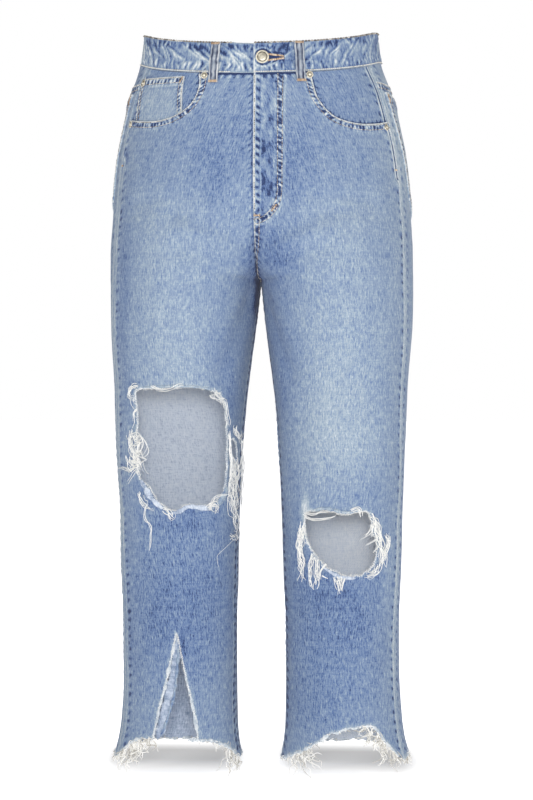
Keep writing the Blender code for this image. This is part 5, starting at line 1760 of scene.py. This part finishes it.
#     radius, height, painted glint
BUTTON_TURN = (
    (0.0060, 0.0000, 0.2), (0.0076, 0.0003, 0.4), (0.0084, 0.0010, 0.8), (0.0086, 0.0017, 1.0),
    (0.0083, 0.0024, 1.0), (0.0077, 0.0028, 1.0), (0.0069, 0.0028, 0.9), (0.0064, 0.0025, 0.3),
    (0.0061, 0.0021, 0.0), (0.0057, 0.0021, 0.1), (0.0052, 0.0024, 0.5), (0.0040, 0.0026, 0.6),
    (0.0026, 0.0027, 0.5), (0.0012, 0.0028, 0.6), (0.0001, 0.0028, 0.6),
)
RIVET_TURN = (
    (0.0040, 0.0000, 0.2), (0.0045, 0.0004, 0.8), (0.0044, 0.0009, 1.0), (0.0038, 0.0013, 1.0),
    (0.0030, 0.0012, 0.4), (0.0025, 0.0011, 0.1), (0.0021, 0.0014, 0.5), (0.0018, 0.0020, 0.9),
    (0.0011, 0.0024, 1.0), (0.0001, 0.0025, 1.0),
)


def stud(name, side, across, z, out, profile):
    """A turned piece of metal, standing square to the cloth."""
    centre = place(side, across, z, out)
    aim = Vector(outward(side, np.array([across]), np.array([z]))[0]).to_track_quat("Z", "X")
    angle = 2 * np.pi * np.arange(TURNED_SIDES) / TURNED_SIDES
    rings = [[centre + np.array(aim @ Vector((r * math.cos(a), r * math.sin(a), h))) for a in angle]
             for r, h, _ in profile]
    points = np.array(rings).reshape(-1, 3)
    painted_glint = np.repeat([ring[2] for ring in profile], TURNED_SIDES)
    return finish_mesh(name, points, tube(len(profile), TURNED_SIDES), wear_of(painted_glint),
                       points[:, [0, 2]], [BRASS], (0, 0), sharp=30)


pieces["button"] = stud("button_metal", "left", centre - BUTTON_FROM_CENTRE, BUTTON_Z,
                        BAND_OUT + METAL_CLEAR, BUTTON_TURN)
for number, (side, datum, distance, z) in enumerate(RIVETS, 1):
    across = distance if datum == "outseam" else float(SKIN.width("front", z)) - distance
    pieces[f"rivet_{number}"] = stud(f"rivet_{number}_metal", side, across, z, METAL_CLEAR, RIVET_TURN)

# === Frayed edges =========================================================================
draw = np.random.RandomState(5)
YARN_SPREAD = 1.5            # times the spread that each bundle is given
YARN_CROWD = 1.25            # and its number of yarns
YARN_RADIUS = 0.00050
STRAND_STEP = 0.0021
STRAND_LIFT = 0.0016
HAIR_RADIUS = 0.00030
HAIR_TAPER = np.array([1.0, 1.0, 0.8, 0.4])
ROUTE_STEPS = 6              # corners in each stretch of a route


def strands(threads, side, count, spread, curl, ragged, route):
    """Loose yarns that follow a route together, each in its own way."""
    whole = respaced(curve_through(np.array(route) / 1000, ROUTE_STEPS), STRAND_STEP)
    for _ in range(int(YARN_CROWD * count)):
        first = int(len(whole) * draw.uniform(0, 0.35 * ragged))
        last = max(first + 4, int(len(whole) * (1 - draw.uniform(0, ragged))))
        line = whole[first:last]
        if len(line) < 4:
            line = whole
        seed = int(draw.randint(1000))
        way = np.arange(len(line)) * STRAND_STEP
        # it wanders to either side, curls if it is asked to, and stands out from the cloth
        off = YARN_SPREAD * spread * (draw.uniform(-0.8, 0.8) + 0.9 * ripple(way / 0.011, 0, seed))
        line = beside(line, off[:, None])
        if curl:
            turn = 2 * np.pi * (way / draw.uniform(0.010, 0.020) + draw.uniform(0, 1))
            size = curl * (0.4 + 0.8 * np.abs(ripple(way / 0.02, 1, seed)))
            line = line + (size * np.array([np.cos(turn), np.sin(turn)])).T
        out = STRAND_LIFT + 0.0016 * (1 + ripple(way / 0.009, 2, seed)) * draw.uniform(0.2, 1.5)
        width = YARN_RADIUS * draw.uniform(0.6, 1.2) * np.clip(1.15 - way / (way[-1] + 1e-9) * 0.5, 0.5, 1)
        threads.one(side, line, out, width, draw.uniform(0.2, 1.0))


def fuzz(threads, side, line, spacing, length, inward, lift):
    """Short hairs along a torn edge. They point to the left of the line, or to its right."""
    line = respaced(line, spacing)
    aim = beside(line, 1.0) - line
    for spot, way in zip(line, aim):
        angle = math.atan2(way[1] * inward, way[0] * inward) + draw.uniform(-0.9, 0.9)
        size = length * draw.uniform(0.4, 1.0)
        bend = draw.uniform(-1.2, 1.2)
        steps = np.linspace(0, 1, 4)
        turned = angle + bend * steps
        path = spot + size * np.stack([steps * np.cos(turned), steps * np.sin(turned)], axis=1)
        path -= 0.15 * size * np.array([math.cos(angle), math.sin(angle)])
        out = lift + 0.0012 * draw.uniform(-0.6, 1.2) * steps
        threads.one(side, path, out, HAIR_RADIUS * HAIR_TAPER, draw.uniform(0.35, 0.95))


# The loose yarns round the tears at the knees, in bundles
#   yarns, spread, curl, ragged, route across and up in millimetres
STRANDS = {
    "right": (
        # its outer edge
        (7, 0.002, 0.0016, 0.6, ((62, -436), (50, -439), (46, -449), (53, -454), (57, -464),
            (60, -468))),
        (4, 0.001, 0.0006, 0.5, ((60, -466), (53, -471), (53, -478), (48, -494))),
        (11, 0.0038, 0, 0.4, ((48, -492), (45, -503), (48, -516), (52, -527), (58, -536),
            (68, -554))),
        (2, 0.0016, 0, 0.1, ((52, -505), (62, -503), (71, -509), (73, -519), (66, -525), (58, -520),
            (58, -511))),
        (2, 0.0018, 0, 0.1, ((50, -500), (60, -498), (66, -505), (64, -517), (55, -522), (50, -514),
            (52, -506))),
        (5, 0.0024, 0.0052, 0.3, ((52, -500), (60, -510), (62, -522), (56, -532))),
        (13, 0.007, 0.004, 0.7, ((52, -524), (60, -534), (66, -543), (70, -552))),
        (6, 0.005, 0.0034, 0.5, ((46, -526), (46, -538), (52, -546))),
        (5, 0.0018, 0, 0.5, ((60, -538), (46, -545), (30, -543), (10, -544))),
        (2, 0.0012, 0, 0.2, ((58, -544), (50, -549), (40, -560), (33, -558))),
        # its foot
        (7, 0.0028, 0.0014, 0.5, ((62, -572), (63, -583), (70, -591), (80, -594))),
        (2, 0.0008, 0.0006, 0.1, ((68, -588), (64, -597), (64, -606), (69, -614), (69, -626),
            (65, -650))),
        (4, 0.0016, 0.0012, 0.5, ((88, -591), (96, -597), (99, -605), (104, -598))),
        (3, 0.0006, 0, 0.1, ((150, -590), (158, -579), (170, -575), (184, -576))),
        (6, 0.0016, 0.0018, 0.3, ((152, -597), (147, -593), (154, -587), (163, -590), (159, -598),
            (152, -600))),
        # its inner edge
        (9, 0.003, 0.0022, 0.7, ((158, -442), (170, -448), (179, -453), (177, -466))),
        (4, 0.001, 0, 0.4, ((180, -456), (183, -472), (187, -490))),
        (6, 0.003, 0.0026, 0.4, ((198, -487), (203, -496), (212, -501), (222, -499), (218, -492))),
        (6, 0.0014, 0, 0.3, ((187, -494), (190, -518), (193, -542), (190, -566))),
        (4, 0.0014, 0, 0.4, ((219, -503), (223, -525), (214, -550), (206, -566))),
        (20, 0.0072, 0, 0.5, ((208, -528), (202, -552), (197, -576), (194, -592), (199, -608),
            (204, -622), (194, -636))),
        (5, 0.003, 0, 0.5, ((226, -520), (229, -552), (222, -600))),
        (5, 0.0022, 0.002, 0.4, ((182, -632), (194, -630), (204, -636))),
        (1, 0.0004, 0, 0, ((192, -634), (170, -644), (155, -654), (156, -668))),
        # its top
        (3, 0.001, 0, 0.2, ((82, -436), (94, -442), (108, -440), (120, -435), (132, -438))),
    ),
    "left": (
        # its top
        (5, 0.0016, 0, 0.3, ((146, -601), (130, -607), (112, -606), (94, -598))),
        (3, 0.001, 0, 0.3, ((146, -597), (132, -599), (122, -596), (110, -594))),
        # its inner edge and foot
        (14, 0.0034, 0, 0.4, ((144, -610), (147, -628), (147, -646), (142, -664), (140, -688))),
        (7, 0.0022, 0, 0.3, ((126, -650), (130, -667), (128, -682), (125, -698))),
        (7, 0.0022, 0, 0.3, ((122, -654), (121, -670), (119, -684), (125, -696))),
        (6, 0.002, 0, 0.4, ((109, -662), (116, -671), (117, -684))),
        (2, 0.001, 0, 0.2, ((112, -676), (103, -681))),
        (8, 0.002, 0, 0.3, ((94, -678), (91, -690), (87, -702))),
        (4, 0.0012, 0, 0.3, ((85, -680), (87, -698))),
        # its outer edge
        (4, 0.0016, 0, 0.3, ((84, -595), (75, -592), (70, -604))),
        (14, 0.003, 0, 0.5, ((60, -598), (50, -610), (43, -626), (37, -644), (35, -660), (42, -674),
            (58, -679))),
        (11, 0.0032, 0, 0.5, ((31, -624), (26, -637), (31, -652), (30, -670))),
        (6, 0.003, 0.0022, 0.5, ((40, -668), (52, -678), (64, -678))),
        (4, 0.0016, 0, 0.5, ((53, -612), (58, -624), (71, -632))),
        (3, 0.001, 0, 0.3, ((55, -612), (54, -630))),
        (3, 0.001, 0, 0.4, ((45, -630), (53, -635), (63, -640))),
        (2, 0.0008, 0, 0.3, ((43, -640), (52, -650))),
    ),
}
for side in SIDES:
    threads = Threads()
    for bundle in STRANDS[side]:
        strands(threads, side, *bundle)
    for hole in HOLES[side]:
        loop = counter(hole, True)
        loop = np.vstack([loop, loop[:1]])
        fuzz(threads, side, loop, 0.0011, 0.0034, 1.0, -0.0006)
        fuzz(threads, side, loop, 0.0016, 0.0030, -1.0, 0.0004)
    if side == "right":
        fuzz(threads, side, slit_line(), 0.0010, 0.0030, -1.0, -0.0004)
        fuzz(threads, side, slit_line(), 0.0014, 0.0026, 1.0, 0.0004)
    extra.append((threads.build(f"loose_yarns_{side}", WHITE_FRAY), "frayed_thread"))

# --- Rolled edges
ROLL_SIDES = 8
ROLL_STEP = 0.0016


def roll(name, side, route, width, height, out, finish, fade, seed, white=0.0, rough=0.35):
    """Cloth that has curled over along a torn edge, thinner towards its ends."""
    line = respaced(curve_through(route, ROUTE_STEPS), ROLL_STEP)
    aside = beside(line, 1.0) - line
    way = np.arange(len(line)) * ROLL_STEP
    ends = np.sqrt(np.clip(np.minimum(way, way[-1] - way) / 0.008, 0.02, 1))
    uneven = 1 + rough * ripple(way / 0.006, 0, seed) + 0.6 * rough * ripple(way / 0.0026, 4, seed)
    angle = 2 * np.pi * np.arange(ROLL_SIDES) / ROLL_SIDES
    reach = (width / 2 * ends * uneven)[:, None] * np.cos(angle)
    rise = out + (height / 2 * ends * uneven)[:, None] * np.sin(angle)
    spots = line[:, None] + reach[..., None] * aside[:, None]
    points = place(side, spots[..., 0], spots[..., 1], rise).reshape(-1, 3)
    quads, caps = tube(len(line), ROLL_SIDES)
    if side == "right":
        quads, caps = quads[:, ::-1], caps[:, ::-1]
    worn = fade + 0.2 * ripple(spots[..., 0] / 0.004, spots[..., 1] / 0.004, seed)
    torn = white * (0.8 + 0.4 * ripple(spots[..., 0] / 0.005, spots[..., 1] / 0.005, seed + 1))
    return finish_mesh(name, points, [quads, caps], wear_of(worn.ravel(), torn.ravel()), spots.reshape(-1, 2),
                       [finish], (0, 0))


#   side, width, height, out, shows its reverse, fading, route in tenths of a millimetre
ROLLS = (
    ("right", 0.0078, 0.0028, 0.001, True, 0.3, ((610, -5560), (680, -5660), (760, -5800),
        (890, -5930))),
    ("right", 0.0058, 0.0028, 0.001, True, 0.35, ((980, -5990), (1100, -5960), (1220, -5900),
        (1400, -5920), (1540, -5920))),
    ("right", 0.0074, 0.0028, 0.001, False, 0.62, ((1500, -5940), (1640, -5880), (1760, -5780),
        (1870, -5650))),
    ("right", 0.0028, 0.002, 0.0006, False, 0.7, ((660, -4380), (900, -4380), (1180, -4370),
        (1500, -4390), (1660, -4440))),
    ("left", 0.0046, 0.0026, 0.001, True, 0.4, ((1160, -6640), (1040, -6720), (900, -6790),
        (700, -6810))),
    ("left", 0.0034, 0.0022, 0.0008, False, 0.75, ((1360, -5960), (1180, -5920), (960, -5960),
        (800, -5970))),
    ("right", 0.011, 0.0016, -0.0022, True, 0.16, ((945, -7580), (915, -7820), (870, -8120),
        (810, -8360), (770, -8600), (720, -8880))),
    ("right", 0.0036, 0.0026, -0.0014, False, 0.46, ((960, -7570), (945, -7840), (915, -8120),
        (890, -8340), (830, -8600), (760, -8840))),
)
# The white lips of the slit and of the hems
LIP_WIDTH = 0.0030
LIP_HEIGHT = 0.0022
LIP_STEP = 0.009
slit_corners = np.array(HEM_SLIT_RIGHT)
lips = [("right", slit_corners[[0, 1, 2, 3, 4]]),
        ("right", np.vstack([[(0.1025, -0.798)], slit_corners[[9, 8, 7]]]))]
for side in SIDES:
    for part in PARTS:
        slit = (side, part) == ("right", "front")
        for start, end in ((0.01, 0.255), (0.535, 0.99)) if slit else ((0.01, 0.99),):
            lips.append((side, hem_line(part, side, start, end, LIP_STEP)))
for number, (side, route) in enumerate(lips, 1):
    extra.append((roll(f"torn_lip_{number}", side, route, LIP_WIDTH, LIP_HEIGHT, -0.0004, DENIM, 0.80,
                       number, 0.72, 0.75), "denim"))
for number, (side, width, height, out, reverse, fade, route) in enumerate(ROLLS, 1):
    extra.append((roll(f"rolled_edge_{number}", side, np.array(route) / 10000, width, height, out,
                       DENIM_INSIDE if reverse else DENIM, fade, number), "denim"))

# --- Felled seams, which close the gaps between the panels from within
FELLED_HALF = 0.004
FELLED_THICK = 0.0008
FELLED_STEP = 0.006
FACING_FOOT_Z = -0.128       # above this it lies behind the pocket's facing as well


def felled(name, top, bottom, edges, deeper_above=None):
    """A strip inside a seam. edges gives the wearer's side and the place across of its two
    halves at each height, as far from the seam as asked."""
    z = np.linspace(top, bottom, max(2, int((top - bottom) / FELLED_STEP)))
    out = np.full(z.shape, -(WALL + 0.0004))
    if deeper_above is not None:
        out -= (WALL + 2 * GAP) * smooth((z - deeper_above) / 0.010)
    (side_a, across_a), (side_b, across_b) = edges
    lay = [(side_a, across_a(z, FELLED_HALF), 0.0), (side_a, across_a(z, 0.0), 0.0),
           (side_b, across_b(z, FELLED_HALF), 0.0)]
    lay += [(side, across, FELLED_THICK) for side, across, _ in lay[::-1]]
    rings = np.stack([place(side, across, z, out - thick) for side, across, thick in lay], axis=1)
    index = np.arange(len(z) * len(lay)).reshape(len(z), len(lay))
    over = np.roll(index, -1, axis=1)
    quads = np.stack([index[:-1], index[1:], over[1:], over[:-1]], axis=-1).reshape(-1, 4)
    caps = np.stack([index[0], index[-1][::-1]])
    pattern = np.stack([np.tile((-FELLED_HALF, 0, FELLED_HALF) * 2, len(z)), np.repeat(z, len(lay))],
                       axis=1)
    return finish_mesh(name, rings.reshape(-1, 3), [quads, caps],
                       wear_of(np.full(index.size, INSIDE_BASE)), pattern, [DENIM_INSIDE], (0, 0))


def front_inner(z, inset):
    return SKIN.width("front", z) - inset


def back_inner(z, inset):
    return inset - SKIN.width("back", z)


felled_seams = [
    ("felled_centre_back", float(waist_seam("back", 1)), CROTCH_Z + 0.002,
     (("left", back_inner), ("right", back_inner)), None),
    ("felled_centre_front", float(waist_seam("front", 1)), CROTCH_Z + 0.002,
     (("left", front_inner), ("right", front_inner)), FLY_FOOT_Z - 0.006),
]
for side in SIDES:
    for seam, top, place_on, halves, deeper_above in (
            ("outseam", float(waist_seam("front", 0)), 0.0,
             (lambda z, inset: inset + 0 * z, lambda z, inset: -inset + 0 * z), FACING_FOOT_Z),
            ("inseam", CROTCH_Z - 0.002, 1.0, (front_inner, back_inner), None)):
        foot = max(float(hem("front", side, place_on)), float(hem("back", side, place_on))) + 0.004
        felled_seams.append((f"felled_{seam}_{side}", top, foot,
                             ((side, halves[0]), (side, halves[1])), deeper_above))
for name, top, foot, edges, deeper_above in felled_seams:
    extra.append((felled(name, top, foot, edges, deeper_above), "denim"))

# --- The fringe of the hems
#   side, part, across, reach, length
CLUSTERS = (
    ("right", "front", 0.034, 0.032, 0.042),
    ("right", "front", 0.196, 0.030, 0.038),
    ("left", "front", 0.158, 0.026, 0.040),
    ("left", "front", 0.034, 0.024, 0.042),
    ("right", "back", -0.020, 0.024, 0.016),
    ("right", "back", -0.215, 0.024, 0.016),
    ("left", "back", -0.020, 0.024, 0.016),
    ("left", "back", -0.215, 0.024, 0.016),
)
FRINGE_SPACING = 0.0012      # between yarns, if none were missing
FRINGE_GAPS = 0.58           # as many are
FRINGE_BASE = {"front": 0.0056, "back": 0.0034}      # their length between the clusters
FRINGE_LENGTHS = (0.40, 1.3) # shortest and longest, times that
FRINGE_LOWEST = -0.9405      # they bend aside above the floor
FRINGE_TUFT = 0.0060         # yarns this close hang together
FRINGE_RADIUS = 0.00064
FRINGE_STEP = 0.0025
FRINGE_CROWD = 2.2           # more yarns in the middle of a cluster
for side in SIDES:
    threads = Threads()
    for part in PARTS:
        foot = hem_line(part, side, 0.0, 1.0, FRINGE_SPACING)
        in_slit = inside(np.array(HEM_SLIT_RIGHT), *foot.T) & (side == "right") & (part == "front")
        for across, z in foot[~in_slit]:
            longest, crowd = FRINGE_BASE[part], 1
            for own, of_part, middle, reach, length in CLUSTERS:
                if (own, of_part) == (side, part):
                    near = math.exp(-((across - middle) / reach) ** 2)
                    longest = max(longest, length * near)
                    crowd = max(crowd, 1 + int(near * FRINGE_CROWD))
            tuft = float(ripple(across / FRINGE_TUFT, 0, 40))
            for _ in range(crowd):
                length = longest * draw.uniform(*FRINGE_LENGTHS)
                if draw.rand() < FRINGE_GAPS:
                    continue
                count = 5 + int(length / FRINGE_STEP)
                steps = np.linspace(0, 1, count)
                seed = int(draw.randint(1000))
                heading = (-np.pi / 2 + 0.8 * tuft + draw.uniform(-0.5, 0.5)
                           + 1.5 * ripple(steps * length / 0.006, 0, seed))
                stride = length / (count - 1)
                path = np.cumsum(stride * np.stack([np.cos(heading), np.sin(heading)], axis=1), axis=0)
                path = np.array([across, z + 0.0020]) + path - path[0]
                path[:, 1] = np.maximum(path[:, 1], FRINGE_LOWEST)
                out = -0.0008 + 0.0045 * ripple(steps * length / 0.010, 5, seed) * steps
                taper = np.interp(steps, (0, 0.8, 1), (1, 0.9, 0.5))
                threads.one(side, path, out, FRINGE_RADIUS * taper, draw.uniform(0.0, 1.0))
    pieces[f"hem_fringe_{side}"] = threads.build(f"hem_fringe_{side}_yarns", HEM_FRAY)

# === Floor, light and camera ==============================================================
FLOOR_Z = -0.9440
FLOOR_HALF = 60              # metres, past anything in view
# The paper glows white but for two soft painted shadows at the hems. Each fades out between these
# distances: from the middle of its leg, towards the front and towards the back
FLOOR_LEG = 0.118
FLOOR_PAINTED_SHADOW = ((0.058, 0.130), (0.19, -0.08), (0.25, 0.42))
FLOOR_SLANT = 0.0875         # they lie straight behind the hems as the camera sees them
FLOOR_SHADOW_DEPTH = 0.98
FLOOR_LIGHT = 0.36           # of which this much lights the jeans
AMBIENT = 0.24               # the studio's light from all round; its walls look white
floor_mesh = bpy.data.meshes.new("floor")
floor_mesh.from_pydata([(x * FLOOR_HALF, y * FLOOR_HALF, FLOOR_Z)
                        for x, y in ((-1, -1), (1, -1), (1, 1), (-1, 1))], [], [(0, 1, 2, 3)])
floor = bpy.data.objects.new("floor", floor_mesh)
bpy.context.scene.collection.objects.link(floor)
paper = Nodes("paper")
paper.shader.inputs["Base Color"].default_value = (0.93, 0.912, 0.89, 1.0)
paper.shader.inputs["Roughness"].default_value = 0.9
paper.shader.inputs["Specular IOR Level"].default_value = 0.0
paper.shader.inputs["Emission Color"].default_value = (1.0, 1.0, 1.0, 1.0)
where = paper.add("ShaderNodeSeparateXYZ")
paper.wire(paper.add("ShaderNodeTexCoord").outputs["Object"], where.inputs[0])
aside = paper.maths("MULTIPLY_ADD", where.outputs[1], FLOOR_SLANT, where.outputs[0])
aside = paper.maths("ABSOLUTE", paper.maths("SUBTRACT", paper.maths("ABSOLUTE", aside), FLOOR_LEG))
# painted shadow: the paper's glow is lowered under each leg
dark = FLOOR_SHADOW_DEPTH
for value, (full, none) in zip((aside, where.outputs[1], where.outputs[1]), FLOOR_PAINTED_SHADOW):
    step = paper.add("ShaderNodeMapRange", interpolation_type="SMOOTHSTEP")
    paper.wire(value, step.inputs["Value"])
    step.inputs["From Min"].default_value, step.inputs["From Max"].default_value = full, none
    step.inputs["To Min"].default_value, step.inputs["To Max"].default_value = 1.0, 0.0
    dark = paper.maths("MULTIPLY", step.outputs[0], dark)
glow = paper.maths("SUBTRACT", 1.0, dark)
seen = paper.maths("MAXIMUM", paper.add("ShaderNodeLightPath").outputs["Is Camera Ray"], FLOOR_LIGHT)
paper.wire(paper.maths("MULTIPLY", glow, seen), paper.shader.inputs["Emission Strength"])
floor_mesh.materials.append(paper.material)

world = bpy.data.worlds.new("studio")
bpy.context.scene.world = world
world.use_nodes = True
background = world.node_tree.nodes["Background"]
background.inputs["Color"].default_value = (1.0, 1.0, 1.0, 1.0)
seen = world.node_tree.nodes.new("ShaderNodeLightPath").outputs["Is Camera Ray"]
level = world.node_tree.nodes.new("ShaderNodeMath")
level.operation = "MULTIPLY_ADD"
level.inputs[1].default_value, level.inputs[2].default_value = 1.0 - AMBIENT, AMBIENT
world.node_tree.links.new(seen, level.inputs[0])
world.node_tree.links.new(level.outputs[0], background.inputs["Strength"])

#   name    place                aims at              size  watts
LAMPS = (
    ("key", (0.35, -3.5, -0.25), (0.0, 0.0, -0.50), 0.7, 60.0),
    ("top", (-1.3, -2.6, 1.9), (0.0, 0.0, -0.45), 1.2, 17.0),
    ("left", (-3.2, -1.3, -0.1), (0.0, 0.0, -0.45), 1.6, 12.0),
    ("right", (3.2, -1.3, -0.1), (0.0, 0.0, -0.45), 1.6, 24.0),
    ("back key", (-0.35, 3.5, -0.25), (0.0, 0.0, -0.50), 0.7, 48.0),
    ("back top", (1.3, 2.6, 1.9), (0.0, 0.0, -0.45), 1.2, 20.0),
)
for name, spot, target, size, watts in LAMPS:
    lamp = bpy.data.lights.new(name, "AREA")
    lamp.shape, lamp.size, lamp.energy = "DISK", size, watts
    holder = bpy.data.objects.new(name, lamp)
    holder.location = spot
    holder.rotation_euler = (Vector(target) - Vector(spot)).to_track_quat("-Z", "Y").to_euler()
    bpy.context.scene.collection.objects.link(holder)

AZIMUTH = math.radians(5)
DISTANCE = 3.6
MIDDLE_Z = -0.4545
ASIDE = 0.0072               # the jeans stand a little left of the picture's middle
FIELD = 1.04                 # metres of height in view at that distance
SENSOR = 24.0
view = bpy.data.cameras.new("camera")
view.sensor_width = SENSOR
view.lens = SENSOR * DISTANCE / FIELD
camera = bpy.data.objects.new("camera", view)
right = Vector((math.cos(AZIMUTH), math.sin(AZIMUTH), 0))
stand = Vector((math.sin(AZIMUTH) * DISTANCE, -math.cos(AZIMUTH) * DISTANCE, MIDDLE_Z))
camera.location = stand + ASIDE * right
camera.rotation_euler = (math.pi / 2, 0, AZIMUTH)
bpy.context.scene.collection.objects.link(camera)
bpy.context.scene.camera = camera
bpy.context.scene.view_settings.view_transform = "Standard"

for node, piece in pieces.items():
    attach(piece, "root")
    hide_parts(node)
for piece, slot in extra:
    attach(piece, "root")
